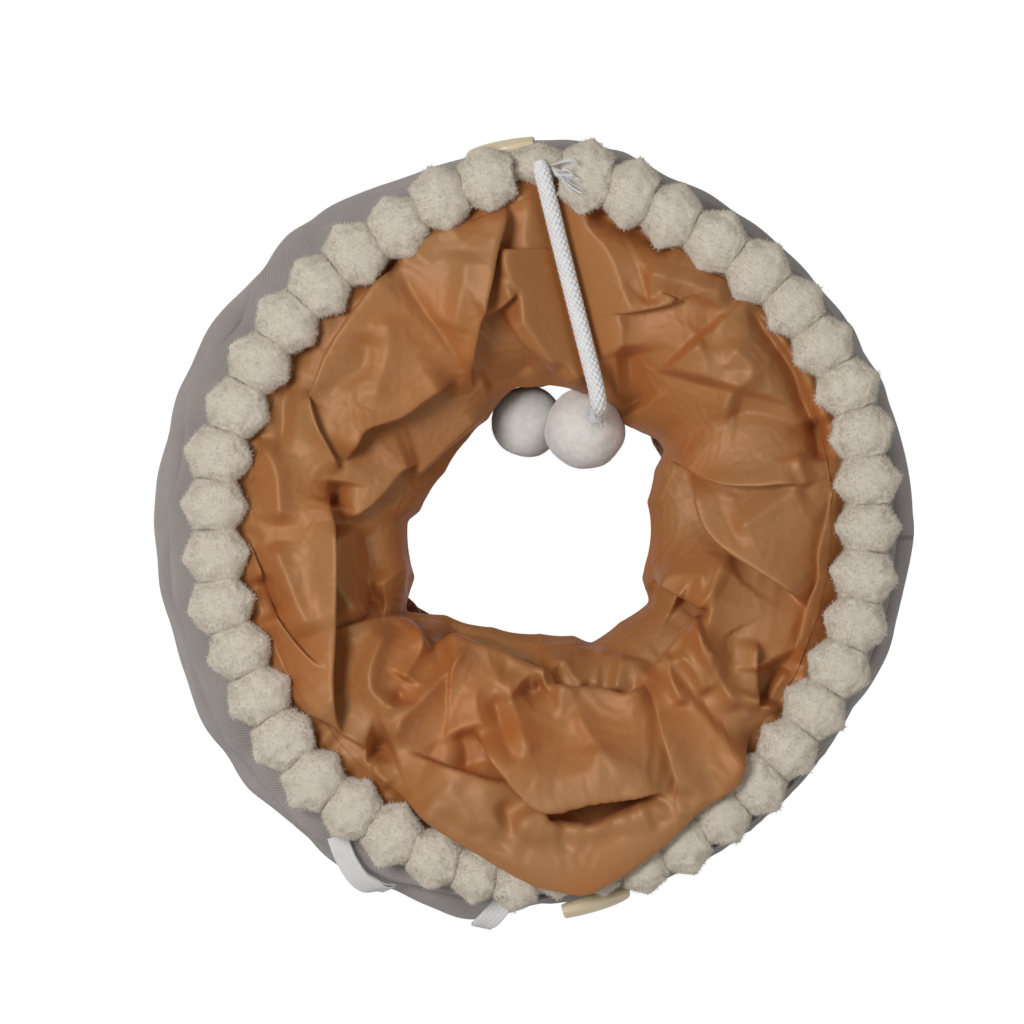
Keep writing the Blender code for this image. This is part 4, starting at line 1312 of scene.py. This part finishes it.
# How far the folded rolls reach, and the roll under the trim, as degrees round the ring and millimetres.
OUTLINE_MM = (
    (0, 149.2), (20, 150.2), (40, 150.3), (60, 148.8), (70, 151.2), (75, 154.6), (80, 157.4), (86, 157.8),
    (91, 156.0), (96, 152.2), (110, 151.2), (120, 152.0), (130, 154.4), (134, 154.0), (140, 151.9),
    (160, 153.0), (170, 151.4), (180, 150.2), (190, 149.6), (200, 150.5), (220, 151.8), (233, 152.2),
    (240, 152.6), (247, 151.2), (254, 153.4), (258, 155.8), (261, 155.9), (264, 152.8), (267, 148.8),
    (271, 145.2), (276, 142.4), (285, 142.0), (300, 143.2), (310, 143.5), (320, 142.5), (330, 143.6),
    (340, 146.0), (350, 148.2),
)
NEAR_EDGE_MM = (
    (0, 142.4), (20, 142.8), (45, 143.0), (62, 142.0), (75, 141.5), (84, 141.0), (92, 143.0), (100, 146.5),
    (108, 145.5), (116, 146.0), (125, 148.3), (131, 151.2), (141, 151.2), (144.5, 146.5), (146.5, 144.0),
    (150, 146.0), (155, 147.2), (167, 145.8), (180, 144.6), (200, 145.2), (215, 147.0), (222, 146.0),
    (235, 148.5), (246, 150.2), (253, 147.2), (262, 144.0), (275, 139.8), (290, 139.8), (300, 140.8),
    (320, 140.6), (340, 141.6),
)
# A panel's section from its upper hoop to its lower one: the share of the way out to the outline, metres
# inwards of the hoop, and the height above the upper hoop.
ROLL_SECTION = (
    (0.0, 0.0, 0.0034), (0.34, 0.0, 0.0060), (0.68, 0.0, 0.0040), (0.93, 0.0, -0.0022), (1.0, 0.0, -0.0080),
    (0.88, 0.0, -0.0150), (0.50, 0.0, -0.0170), (0.08, 0.0, -0.0137), (0.0, 0.030, -0.0117),
    (0.0, 0.063, -0.0107), (0.0, 0.067, -0.0113), (0.0, 0.063, -0.0119), (0.0, 0.012, -0.0145),
    (0.0, 0.003, -0.0158), (0.0, 0.0, -0.0164),
)
NEAR_SECTION = (
    (0.0, 0.0, 0.0030), (0.25, 0.0, 0.0026), (0.62, 0.0, 0.0006), (0.93, 0.0, -0.0012), (1.0, 0.0, -0.0026),
    (0.93, 0.0, -0.0042), (0.55, 0.0, -0.0075), (0.12, 0.0, -0.0112), (0.0, 0.026, -0.0112),
    (0.0, 0.053, -0.0105), (0.0, 0.058, -0.0111), (0.0, 0.053, -0.0117), (0.0, 0.006, -0.0145),
    (0.0, 0.0, -0.0158), (0.0, 0.0, -0.0166),
)
# Where the rolls are pinched: degrees round the ring, the pinch's width in degrees, its depth in millimetres.
KINKS = (
    (138.0, 4.0, 2.0), (128.4, 3.0, 1.6), (218.4, 5.0, 3.0), (163.0, 3.5, 1.2),
    (236.0, 3.0, 1.6), (24.0, 3.0, 1.2), (332.0, 3.5, 1.4),
)


def by_angle(angles, table):
    """Values in metres, smoothed, from a list of (degrees, millimetres) round the ring."""
    degrees = np.array([row[0] for row in table], float)
    values = np.array([row[1] for row in table], float) / 1000
    return softened(np.interp(np.mod(np.degrees(angles), 360), degrees, values, period=360), 4)


def kinked(angles):
    """How deep the roll is pinched at each angle, in metres."""
    total = np.zeros_like(angles)
    for degrees, width, depth in KINKS:
        off = np.degrees(np.angle(np.exp(1j * (angles - math.radians(degrees)))))
        total += depth / 1000 * np.exp(-np.abs(off / width) ** 1.2)
    return total


def make_cover(number, material):
    """One folded panel. The first falls from under the pompoms to a fold inside the outline that the others
    make."""
    angles = np.arange(COVER_COLUMNS) * 2 * math.pi / COVER_COLUMNS
    around = angles * METRES_PER_RADIAN
    outline = by_angle(angles, OUTLINE_MM)
    outline += 0.0005 * ripples(around, 0 * around, 0.035, 300 + number)
    (upper, upper_centre), (lower, _) = hoop_radii(number), hoop_radii(number + 1)
    if number == 1:
        table = NEAR_SECTION
        out = by_angle(angles, NEAR_EDGE_MM)
    else:
        table = ROLL_SECTION
        out = outline - (number > 2) * np.abs(0.0022 * ripples(around, 0 * around, 0.07, 310 + number))
    own_x = upper_centre[0] + oval(angles, upper) * np.cos(angles)
    own_y = upper_centre[1] + oval(angles, upper) * np.sin(angles)
    own = np.hypot(own_x, own_y)
    rows_on_lower_hoop = 1 if number == 1 else 3
    points = []
    for i, (outward, inward, height) in enumerate(table):
        rest = own if i < len(table) - rows_on_lower_hoop else oval(angles, lower)
        points.append(np.stack([rest + (out - own) * outward - inward, height + 0 * angles], axis=-1))
    section = even_profiles(np.array(points), COVER_ROWS)
    turn = np.arctan2(own_y, own_x)[None, :] + np.zeros((COVER_ROWS, 1))
    share = np.repeat(np.linspace(0, 1, COVER_ROWS)[:, None], COVER_COLUMNS, axis=1)
    seen = np.exp(-((share - 0.14) / 0.13) ** 2) * smooth_step(share / 0.05)
    pinch = kinked(angles + 0.05 * (number - 1) * (-1) ** number)[None, :] * seen
    run = np.repeat(around[None, :], COVER_ROWS, axis=0)
    wave = 0.0010 * ripples(run, share * 0.17, 0.050, 320 + number)
    wave += 0.0006 * ripples(run, share * 0.17, 0.020, 330 + number)
    wave += 0.0005 * (0.5 - np.abs(ripples(run * 0.6, share * 0.17, 0.030, 340 + number)))
    wave = wave * seen
    radius = section[:, :, 0] - pinch * 0.8 + wave
    x, y = radius * np.cos(turn), radius * np.sin(turn)
    z = HOOP_HEIGHTS[number - 1] + section[:, :, 1] - pinch * 0.7 + wave * 0.7
    points = np.stack([x, y, z], axis=-1).reshape(-1, 3)
    faces = [face[::-1] for face in grid_faces(COVER_ROWS, COVER_COLUMNS)]
    piece = new_piece(f"cover_panel_{number}_twill", points, faces, material)
    cloth_places(piece.data, run, share * COVER_CUT[1])
    turned = np.repeat(angles[None, :], COVER_ROWS, axis=0)
    opened = drawn_out(number, turned, share, -COVER_OUTSET, OPEN_COVER_WAIST, 350 + number)
    hang_between(piece, number, opened)
    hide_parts(f"cover_panel_{number}")


for number in range(1, len(HOOP_HEIGHTS)):
    make_cover(number, twill)


# Pompom trim
# A row of tufted plush pompoms round each end, pressed together into six-sided cushions and sewn to a tape.
# The near ones are given clockwise from the rope, each by its pixel and its size as a share of a full one.
POMPOM_PIXELS = (
    (537, 164, 0.60), (587, 177, 1.10), (632, 194, 1.10), (670, 216, 1.05), (715, 242, 1.0), (757, 272, 1.0),
    (794, 308, 1.0), (822, 346, 1.0), (847, 388, 1.0), (861, 433, 1.0), (867, 482, 1.0), (867, 527, 1.0),
    (863, 575, 1.0), (855, 623, 1.0), (838, 668, 1.0), (814, 708, 1.0), (787, 748, 1.0), (755, 783, 1.0),
    (720, 813, 1.0), (682, 842, 0.95), (641, 866, 0.80), (600, 868, 0.80), (557, 870, 0.80), (515, 882, 0.85),
    (478, 872, 0.92), (436, 857, 0.98), (392, 834, 1.0), (352, 808, 1.0), (315, 780, 1.0), (283, 738, 1.0),
    (260, 695, 1.0), (240, 650, 1.0), (222, 605, 1.0), (217, 555, 1.0), (215, 505, 1.0), (219, 455, 1.0),
    (238, 408, 1.0), (260, 363, 1.0), (288, 322, 1.0), (320, 287, 1.0), (355, 255, 1.0), (398, 228, 1.0),
    (440, 200, 1.0), (487, 180, 1.0),
)
NEAR_POMPOM_HEIGHT = 0.1205
POMPOM_HALF_RADIAL = 0.0119
POMPOM_HALF_HEIGHT = 0.0066
POMPOM_SEAM_GAP = -0.0001
POMPOM_FLATTENING = 1.13
POMPOM_CUTS = 14
ROPE_POMPOM_DROP = 0.0048
HEX_SHARE = 0.95
CLUMP_DEPTH, FINE_CLUMP_DEPTH = 0.00030, 0.00022
FUR_COUNT = 4700
FUR_LENGTH = 0.0009
FUR_WIDTH = 0.00017
FUR_LEAN = (0.3, 1.25)
FUR_SCATTER = 0.0003
FAR_POMPOM_COUNT = 40
FAR_POMPOM_RADII = (0.1380, 0.1420)
FAR_POMPOM_HEIGHT = 0.0058
FAR_POMPOM_HALF_HEIGHT = 0.0048
FAR_POMPOM_HALF_RADIAL = 0.0096
FAR_COVER_SHARE = 0.975
FAR_FUR_COUNT = 1500
FUR_FLOOR = 0.0004
# PLUSH_GAP_SHADE is painted shade for the gaps between the fibres, laid in random patches.
PLUSH_COLOUR = (0.650, 0.583, 0.487)
PLUSH_GAP_SHADE = (0.605, 0.535, 0.435)
PLUSH_CLUMPS = (260.0, 4.0, 0.6)
PLUSH_FIBRES = (900.0, 3.0, 0.6)


def plush_material():
    """Cream plush: dull fibres with a soft bloom, and painted shade in random patches for where one looks in
    between them.
    """
    material, tree, shader = new_material("pompom_plush", 0.92, sheen=0.35, specular=0.15)
    place = own_place(tree)
    # Painted shade in random patches, standing for the gaps between fibres.
    dyed_and_shaded(tree, shader, clumps(tree, place, *PLUSH_CLUMPS), 0.30, 0.58, PLUSH_GAP_SHADE, PLUSH_COLOUR)
    add_bump(tree, shader, clumps(tree, place, *PLUSH_FIBRES), 0.5, 0.0006)
    return material


def quad_piece(name, vertices, quads, material):
    """A mesh object of quads only, given as arrays."""
    mesh = bpy.data.meshes.new(name)
    mesh.vertices.add(len(vertices))
    mesh.vertices.foreach_set("co", np.asarray(vertices, np.float32).ravel())
    mesh.loops.add(len(quads) * 4)
    mesh.loops.foreach_set("vertex_index", quads.astype(np.int32).ravel())
    mesh.polygons.add(len(quads))
    mesh.polygons.foreach_set("loop_start", np.arange(len(quads), dtype=np.int32) * 4)
    mesh.update(calc_edges=True)
    mesh.materials.append(material)
    mesh.shade_smooth()
    piece = bpy.data.objects.new(name, mesh)
    bpy.context.scene.collection.objects.link(piece)
    return piece


def make_pompom(name, centre, middle, halves, seed, fur_count, material, body):
    """One cushion of fur, six-sided in plan, with flat sides against the pompoms beside it in the ring about
    middle. halves gives its half sizes outwards, anticlockwise, clockwise and up."""
    rng = np.random.default_rng(seed)
    unit, faces = ball_surface(POMPOM_CUTS)
    half_radial, half_anticlockwise, half_clockwise, half_height = halves
    out = np.array((centre[0] - middle[0], centre[1] - middle[1], 0.0))
    out /= np.linalg.norm(out)
    along = np.array((-out[1], out[0], 0.0))
    bearing = np.arctan2(unit[:, 1], unit[:, 0])
    off_flat = np.mod(bearing - math.pi / 2 + math.pi / 6, math.pi / 3) - math.pi / 6
    hexagon = 1 + HEX_SHARE * (1 / np.cos(off_flat) - 1)
    radial = unit[:, 0] * hexagon * half_radial * rng.uniform(0.98, 1.05)
    sideways = np.clip(unit[:, 1] * hexagon * POMPOM_FLATTENING, -1, 1)
    sideways = sideways * np.where(unit[:, 1] > 0, half_anticlockwise, half_clockwise)
    up = np.sign(unit[:, 2]) * np.abs(unit[:, 2]) ** 0.85 * half_height * rng.uniform(0.93, 1.04)
    clump = ripples(unit[:, 0], unit[:, 1], 0.55, seed, z=unit[:, 2]) * CLUMP_DEPTH
    clump += ripples(unit[:, 0], unit[:, 1], 0.20, seed + 1, z=unit[:, 2]) * FINE_CLUMP_DEPTH
    local = np.stack([radial, sideways, up], axis=1)
    wide = (half_anticlockwise + half_clockwise) / 2
    normal = np.stack([radial / half_radial**2, sideways / wide**2, up / half_height**2], axis=1)
    normal /= np.linalg.norm(normal, axis=1)[:, None]
    local = local + normal * clump[:, None]
    axes = np.stack([out, along, np.array((0.0, 0.0, 1.0))])
    points = np.asarray(centre) + local @ axes
    points[:, 2] = np.maximum(points[:, 2], FUR_FLOOR)
    normals = normal @ axes
    weight = np.where(normals[:, 2] > -0.35, 1.0, 0.15)
    picked = rng.choice(len(points), fur_count, p=weight / weight.sum())
    roots = points[picked] + rng.normal(size=(fur_count, 3)) * FUR_SCATTER
    fur, fur_faces = fibre_mesh(roots, normals[picked], FUR_LENGTH, FUR_WIDTH, FUR_LEAN, rng)
    fur[:, 2] = np.maximum(fur[:, 2], FUR_FLOOR)
    quads = np.vstack([np.array(faces), np.array(fur_faces) + len(points)])
    piece = quad_piece(name, np.vstack([points, fur]), quads, material)
    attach(piece, body)
    return piece


def make_near_trim(material):
    """The pompoms that the photograph shows. The first lies lower, under the rope's end."""
    centres = plane_points([(px, py) for px, py, _ in POMPOM_PIXELS])
    count = len(centres)
    for i, (x, y) in enumerate(centres):
        clockwise = np.linalg.norm(centres[(i + 1) % count] - centres[i]) / 2 - POMPOM_SEAM_GAP
        anticlockwise = np.linalg.norm(centres[i] - centres[i - 1]) / 2 - POMPOM_SEAM_GAP
        size = POMPOM_PIXELS[i][2]
        up = POMPOM_HALF_HEIGHT * (0.4 + 0.6 * size)
        halves = (POMPOM_HALF_RADIAL * size, anticlockwise, clockwise, up)
        height = NEAR_POMPOM_HEIGHT - (ROPE_POMPOM_DROP if i == 0 else 0.0)
        name = f"near_pompom_{i + 1:02d}"
        centre = (x, y, height)
        piece = make_pompom(name, centre, RIM_CENTRE, halves, 400 + i, FUR_COUNT, material, "near_end")
        if i == 0:
            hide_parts("near_pompoms")


def make_far_trim(material):
    """An even row of flatter pompoms, which the folded tunnel stands on."""
    half_gap = math.pi * sum(FAR_POMPOM_RADII) / 2 / FAR_POMPOM_COUNT
    angles = np.arange(FAR_POMPOM_COUNT) * 2 * math.pi / FAR_POMPOM_COUNT
    outer = np.minimum(oval(angles, FAR_POMPOM_RADII) + FAR_POMPOM_HALF_RADIAL,
                       by_angle(angles, OUTLINE_MM) * FAR_COVER_SHARE)
    inner = oval(angles, FAR_POMPOM_RADII) - FAR_POMPOM_HALF_RADIAL
    for i, angle in enumerate(angles):
        radius = (outer[i] + inner[i]) / 2
        halves = ((outer[i] - inner[i]) / 2, half_gap, half_gap, FAR_POMPOM_HALF_HEIGHT)
        centre = (radius * math.cos(angle), radius * math.sin(angle), FAR_POMPOM_HEIGHT)
        name = f"far_pompom_{i + 1:02d}"
        piece = make_pompom(name, centre, (0.0, 0.0), halves, 500 + i, FAR_FUR_COUNT, material, "far_end")
        if i == 0:
            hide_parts("far_pompoms")


plush = plush_material()
make_near_trim(plush)
make_far_trim(plush)


# Trim tape
# The woven off-white tapes that the pompoms are sewn to, each with an overlocked edge. The near one lies on
# the rim, and its edge shows where the lining pulls away. The far one stands up behind its pompoms.
TAPE_COLUMNS = 480
TAPE_HALF_THICKNESS = 0.0003
# Each tape's section runs from its stitched edge to its other edge, as half axes of the ring and a height.
NEAR_TAPE_SECTION = (((0.1212, 0.1282), 0.1134), ((0.1290, 0.1360), 0.1134))
FAR_TAPE_SECTION = (((0.1284, 0.1325), 0.0092), ((0.1284, 0.1325), 0.0012))
SELVAGE_FROM_DEG, SELVAGE_TO_DEG = 22.0, 96.0
SELVAGE_REACH = 0.0010
TAPE_COLOUR = (0.80, 0.775, 0.72)
TAPE_YARNS = 2600.0
STITCH_SPACING_DEG = 0.95
STITCH_RADIUS = 0.00030
STITCH_SIDES = 5
STITCH_POINTS = 7
STITCH_SLANT = 0.0035


def make_tape(end, section, middle, reach, material, seed):
    """One tape. Its overlocked edge reaches that much further in where the lining pulls away."""
    angles = np.arange(TAPE_COLUMNS) * 2 * math.pi / TAPE_COLUMNS
    degrees = np.degrees(angles)
    shown = smooth_step((degrees - SELVAGE_FROM_DEG) / 12) * smooth_step((SELVAGE_TO_DEG - degrees) / 8)
    (first_radii, first_height), (last_radii, last_height) = section
    first, last = oval(angles, first_radii), oval(angles, last_radii)
    first = first - reach * shown - 0.0005 * ripples(angles * 0.12, 0 * angles, 0.010, seed)
    run = np.array((float(np.mean(last - first)), last_height - first_height))
    outward, upward = np.array((-run[1], run[0])) / np.linalg.norm(run)

    def place(share, rise):
        """The tape's ring at that share of its width and that rise off its middle."""
        radius = first + (last - first) * share + rise * outward
        z = first_height + (last_height - first_height) * share + rise * upward
        z = z + 0.0004 * ripples(angles * 0.12, 0 * angles + share * 0.01, 0.014, seed + 1)
        z = z + shown * reach * (1 - share) ** 3 * 0.9
        x, y = middle[0] + radius * np.cos(angles), middle[1] + radius * np.sin(angles)
        return np.stack([x, y, z], axis=-1)

    corners = ((0, -1), (0, 1), (0.25, 1), (0.5, 1), (0.75, 1), (1, 1), (1, -1), (0.5, -1))
    rows = np.array([place(share, side * TAPE_HALF_THICKNESS) for share, side in corners])
    parts = [(rows.transpose(1, 0, 2).reshape(-1, 3), ring_faces(TAPE_COLUMNS, len(rows)))]
    steps = np.linspace(0, 1, STITCH_POINTS)
    lines = np.array([place(-0.08 + 0.36 * t, 0.0004 + 0.0007 * math.sin(math.pi * t)) for t in steps])
    every = np.arange(TAPE_COLUMNS)
    for degree in np.arange(0, 360, STITCH_SPACING_DEG):
        columns = (degree / 360 + STITCH_SLANT * (steps - 0.5)) * TAPE_COLUMNS
        stitch = [
            [np.interp(column, every, line[:, k], period=TAPE_COLUMNS) for k in range(3)]
            for line, column in zip(lines, columns)
        ]
        parts.append(tube_mesh(np.array(stitch), STITCH_SIDES, STITCH_RADIUS, STITCH_RADIUS))
    piece = new_piece(f"{end}_trim_tape_woven", *join_meshes(parts), material)
    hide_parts(f"{end}_trim_tape")
    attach(piece, f"{end}_end")


tape = yarn_material("trim_tape", TAPE_COLOUR, TAPE_YARNS)
make_tape("near", NEAR_TAPE_SECTION, RIM_CENTRE, SELVAGE_REACH, tape, 610)
make_tape("far", FAR_TAPE_SECTION, (0.0, 0.0), 0.0, tape, 620)


# Toggles
# Two turned barrels of pale horn, each with a round hole in one end and hung on a short brown waxed cord that
# is sewn to the near rim.
TOGGLE_HALF_LENGTH = 0.0137
TOGGLE_BARREL_RADIUS = 0.0036
TOGGLE_STEPS = 40
# From the closed end to the end with the hole and back into it: shares of the half length and of the radius.
TOGGLE_SECTION = (
    (-1.00, 0.00), (-0.985, 0.30), (-0.94, 0.50), (-0.84, 0.66), (-0.62, 0.83), (-0.30, 0.96), (0.05, 1.00),
    (0.45, 0.97), (0.80, 0.87), (0.955, 0.80), (0.99, 0.76), (1.00, 0.70), (0.985, 0.50), (0.93, 0.44),
    (0.86, 0.40), (0.84, 0.00),
)
TOGGLE_TURNS_DEG = (10.5, 196.0)
TOGGLE_RISES_DEG = (9.0, 5.0)
TOGGLE_CORD_RADIUS = 0.00095
TOGGLE_CORD_SIDES = 9
TOGGLE_CORD_YARNS = 3600.0
CORD_HALF_GAP = 0.0010
HORN_STREAKS = (1.0, 4.0, 0.55)
HORN_COLOUR = (0.66, 0.565, 0.395)
HORN_DARK = (0.59, 0.48, 0.31)
CORD_COLOUR = (0.30, 0.17, 0.075)


def horn_material():
    """Pale horn: satin, with streaks drawn out along the barrel."""
    material, tree, shader = new_material("toggle_horn", 0.36, specular=0.5)
    shader.inputs["Coat Weight"].default_value = 0.15
    stretch = tree.nodes.new("ShaderNodeMapping")
    stretch.inputs["Scale"].default_value = (90.0, 900.0, 900.0)
    tree.links.new(own_place(tree), stretch.inputs["Vector"])
    streaks = clumps(tree, stretch.outputs["Vector"], *HORN_STREAKS)
    dyed_and_shaded(tree, shader, streaks, 0.35, 0.68, HORN_DARK, HORN_COLOUR)
    add_bump(tree, shader, streaks, 0.12, 0.0002)
    return material


def make_toggle(number, material):
    """A lathed barrel in its own coordinates, whose X runs along it, turned to lie as in the photograph."""
    low, high = (np.array(corner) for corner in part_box(f"toggle_{number}"))
    centre = (low + high) / 2
    turns = np.arange(TOGGLE_STEPS) * 2 * math.pi / TOGGLE_STEPS
    section = [(a * TOGGLE_HALF_LENGTH, b * TOGGLE_BARREL_RADIUS, 0.0) for a, b in TOGGLE_SECTION]
    line = smooth_route(section, 0.0003)
    x, radius = np.repeat(line[:, :1], TOGGLE_STEPS, 1), line[:, 1:2]
    points = np.stack([x, radius * np.cos(turns), radius * np.sin(turns)], axis=-1)
    faces = grid_faces(len(line), TOGGLE_STEPS)
    piece = new_piece(f"toggle_{number}_barrel", points.reshape(-1, 3), faces, material)
    piece.location = centre
    rise, turn = TOGGLE_RISES_DEG[number - 1], TOGGLE_TURNS_DEG[number - 1]
    piece.rotation_euler = (0.0, -math.radians(rise), math.radians(turn))
    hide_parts(f"toggle_{number}")
    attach(piece, f"toggle_{number}")
    return centre


def make_toggle_cord(number, centre, material):
    """Two strands from the rim to the near side of the barrel, where they go into its cross hole."""
    low, high = (np.array(corner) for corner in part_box(f"toggle_cord_{number}"))
    side = 1.0 if centre[1] > 0 else -1.0
    x = (low[0] + high[0]) / 2
    start = low[1] if side > 0 else high[1]
    end = centre[1] - side * TOGGLE_BARREL_RADIUS * 0.55
    parts = []
    for aside in (-CORD_HALF_GAP, CORD_HALF_GAP):
        route = [
            (x + aside * 0.6, start + side * 0.0012, low[2] + 0.0042),
            (x + aside * 1.2, start + side * 0.0045, low[2] + 0.0050),
            (x + aside, (start + end) / 2 + side * 0.001, centre[2] + 0.0018),
            (x + aside * 0.7, end, centre[2] + 0.0004),
        ]
        line = smooth_route(route, 0.0005)
        parts.append(tube_mesh(line, TOGGLE_CORD_SIDES, TOGGLE_CORD_RADIUS, TOGGLE_CORD_RADIUS))
    piece = new_piece(f"toggle_cord_{number}_waxed", *join_meshes(parts), material)
    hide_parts(f"toggle_cord_{number}")
    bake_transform(piece, "near_end", f"toggle_{number}", (x, start, centre[2]), (x, end, centre[2]))


horn = horn_material()
waxed = yarn_material("toggle_cord", CORD_COLOUR, TOGGLE_CORD_YARNS)
for number in (1, 2):
    make_toggle_cord(number, make_toggle(number, horn), waxed)


# Elastic loops
# Two loops of flat white elastic that hold the folded tunnel shut. Each is a doubled band sewn under the
# pompoms at the lower left, and hangs over the outer fold of the cover.
LOOP_WIDTH = 0.0079
LOOP_THICKNESS = 0.0009
LOOP_RIBS = 5
LOOP_ACROSS = 17
LOOP_TOOTH = 0.00022
LOOP_TOOTH_PITCH = 0.0011
LOOP_FOLD_GAP = 0.0011
LOOP_TURN = 0.0006
LOOP_YARNS = 3000.0
LOOP_COLOUR = (0.70, 0.695, 0.68)
LOOP_A_ROUTE = (
    (337, 836, 0.1128), (343, 853, 0.1126), (351, 869, 0.1112), (361, 882, 0.1090), (374, 889, 0.1060),
    (388, 891, 0.1015),
)
LOOP_B_ROUTE = (
    (510, 888, 0.1128), (506, 898, 0.1128), (499, 909, 0.1116), (490, 920, 0.1092), (484, 926, 0.1058),
    (481, 929, 0.1000),
)


def ribbed_band(line, up, width, thickness):
    """A woven band along a line: raised ribs along both faces and small teeth along its edges."""
    forward = np.gradient(line, axis=0)
    forward /= np.linalg.norm(forward, axis=1)[:, None]
    face = up - forward * (up * forward).sum(1)[:, None]
    face /= np.linalg.norm(face, axis=1)[:, None]
    across = np.cross(forward, face)
    along = np.concatenate([[0], np.cumsum(np.linalg.norm(np.diff(line, axis=0), axis=1))])
    tooth = 1 + LOOP_TOOTH / width * 2 * np.abs(2 * np.mod(along / LOOP_TOOTH_PITCH, 1) - 1)
    share = np.linspace(-1, 1, LOOP_ACROSS)
    ribs = 0.72 + 0.28 * np.cos(math.pi * LOOP_RIBS * share)
    edge = np.sqrt(np.clip(1 - share**8, 0.05, 1))
    half = thickness / 2 * ribs * edge
    way = np.concatenate([share, share[::-1]])
    rise = np.concatenate([half, -half[::-1]])
    points = (
        line[:, None]
        + across[:, None] * (way[None, :, None] * (width / 2 * tooth)[:, None, None])
        + face[:, None] * rise[None, :, None]
    )
    ring = 2 * LOOP_ACROSS
    faces = []
    for i in range(len(line) - 1):
        for s in range(ring):
            n = (s + 1) % ring
            faces.append((i * ring + s, (i + 1) * ring + s, (i + 1) * ring + n, i * ring + n))
    faces.append(tuple(range(ring)))
    faces.append(tuple((len(line) - 1) * ring + s for s in range(ring))[::-1])
    return points.reshape(-1, 3), faces


def make_loop(letter, pixels, material):
    """The band goes out along its route, turns at its end and comes back beneath itself."""
    out = [(*on_plane(px, py), z) for px, py, z in pixels]
    line = smooth_route(out, 0.0004)
    radial = line.copy()
    radial[:, 2] = 0
    radial /= np.linalg.norm(radial, axis=1)[:, None]
    forward = np.gradient(line, axis=0)
    forward /= np.linalg.norm(forward, axis=1)[:, None]
    upright = np.array((0.0, 0.0, 1.0)) * (0.35 + np.abs(forward[:, 1:2]))
    up = radial * np.maximum(0.0, -forward[:, 2:3]) + upright
    across = np.cross(forward, up)
    across /= np.linalg.norm(across, axis=1)[:, None]
    face = np.cross(across, forward)
    beneath = (line - face * LOOP_FOLD_GAP)[::-1]
    turn = (line[-1] + beneath[0]) / 2 + forward[-1] * LOOP_TURN
    way_back, face_back = np.vstack([turn[None], beneath]), np.vstack([face[-1:], face[::-1]])
    parts = [ribbed_band(line, face, LOOP_WIDTH, LOOP_THICKNESS)]
    parts.append(ribbed_band(way_back, face_back, LOOP_WIDTH, LOOP_THICKNESS))
    piece = new_piece(f"elastic_loop_{letter}_band", *join_meshes(parts), material)
    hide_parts(f"elastic_loop_{letter}")
    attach(piece, f"loop_{letter}")


elastic = yarn_material("loop_elastic", LOOP_COLOUR, LOOP_YARNS)
make_loop("a", LOOP_A_ROUTE, elastic)
make_loop("b", LOOP_B_ROUTE, elastic)


# Rope fray
# The rope's cut end is sewn under the trim, and its loose threads fan out over the pompom to the right of it.
# Short fibres stand off the rope all along, and a tuft closes the seam where it goes into the ball.
FRAY_PIXELS = (
    ((551, 166), (560, 164), (569, 162), (577, 165)),
    ((552, 169), (561, 172), (567, 170), (573, 173)),
    ((553, 172), (561, 178), (566, 184), (569, 193)),
    ((554, 174), (563, 180), (571, 188), (582, 195)),
    ((553, 170), (560, 176), (570, 177), (577, 182)),
)
FRAY_STRANDS = 6
FRAY_SPREAD = 0.00055
FRAY_RADIUS = 0.00017
FRAY_ROOT_HEIGHT, FRAY_HEIGHT = 0.1225, 0.1300
FRAY_SIDES = 4
FUZZ_ON_ROPE = 1300
FUZZ_ROPE_LENGTH = 0.0011
FUZZ_ROPE_WIDTH = 0.00006
FUZZ_ROPE_ABOVE = 0.0985
TUFT_FIBRES = 420
TUFT_TURNS = 8
TUFT_LENGTH = 0.0030
TUFT_WIDTH = 0.00022
TUFT_HEIGHT = 0.1005


def make_fray(material):
    """The fanned threads, the fuzz and the tuft, in one piece that rides with the rope."""
    rng = np.random.default_rng(700)
    parts = []
    for pixels in FRAY_PIXELS:
        places = plane_points(pixels)
        rise = np.minimum(1.0, 0.75 * np.arange(len(places)))
        heights = FRAY_ROOT_HEIGHT + (FRAY_HEIGHT - FRAY_ROOT_HEIGHT) * rise
        route = np.column_stack([places, heights])
        for _ in range(FRAY_STRANDS):
            aside = rng.normal(size=3) * FRAY_SPREAD
            loose = route + np.linspace(0.3, 1.6, len(route))[:, None] * aside
            parts.append(tube_mesh(smooth_route(loose, 0.0007), FRAY_SIDES, FRAY_RADIUS, FRAY_RADIUS))
    line = rope_line[rope_line[:, 2] > FUZZ_ROPE_ABOVE]
    _, first, second = frames_along(line)
    picked = rng.integers(2, len(line) - 2, FUZZ_ON_ROPE)
    turn = rng.uniform(0, 2 * math.pi, FUZZ_ON_ROPE)[:, None]
    out = first[picked] * np.cos(turn) + second[picked] * np.sin(turn)
    roots = line[picked] + out * (BRAID_RADIUS + STRAND_HALF_THICKNESS * 0.6)
    parts.append(fibre_mesh(roots, out, FUZZ_ROPE_LENGTH, FUZZ_ROPE_WIDTH, (0.6, 1.4), rng))
    places = np.full(TUFT_FIBRES, np.argmax(rope_line[:, 2] < TUFT_HEIGHT))
    turn = np.linspace(0, TUFT_TURNS * 2 * math.pi, TUFT_FIBRES)[:, None]
    forward, first, second = frames_along(rope_line)
    out = first[places] * np.cos(turn) + second[places] * np.sin(turn)
    roots = rope_line[places] + out * BRAID_RADIUS + rng.normal(size=(TUFT_FIBRES, 3)) * 0.0006
    downwards = out * 0.6 + forward[places] * 0.8
    parts.append(fibre_mesh(roots, downwards, TUFT_LENGTH, TUFT_WIDTH, (0.1, 0.7), rng))
    piece = new_piece("toy_rope_fray", *join_meshes(parts), material)
    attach(piece, "near_end")


make_fray(rope.data.materials[0])
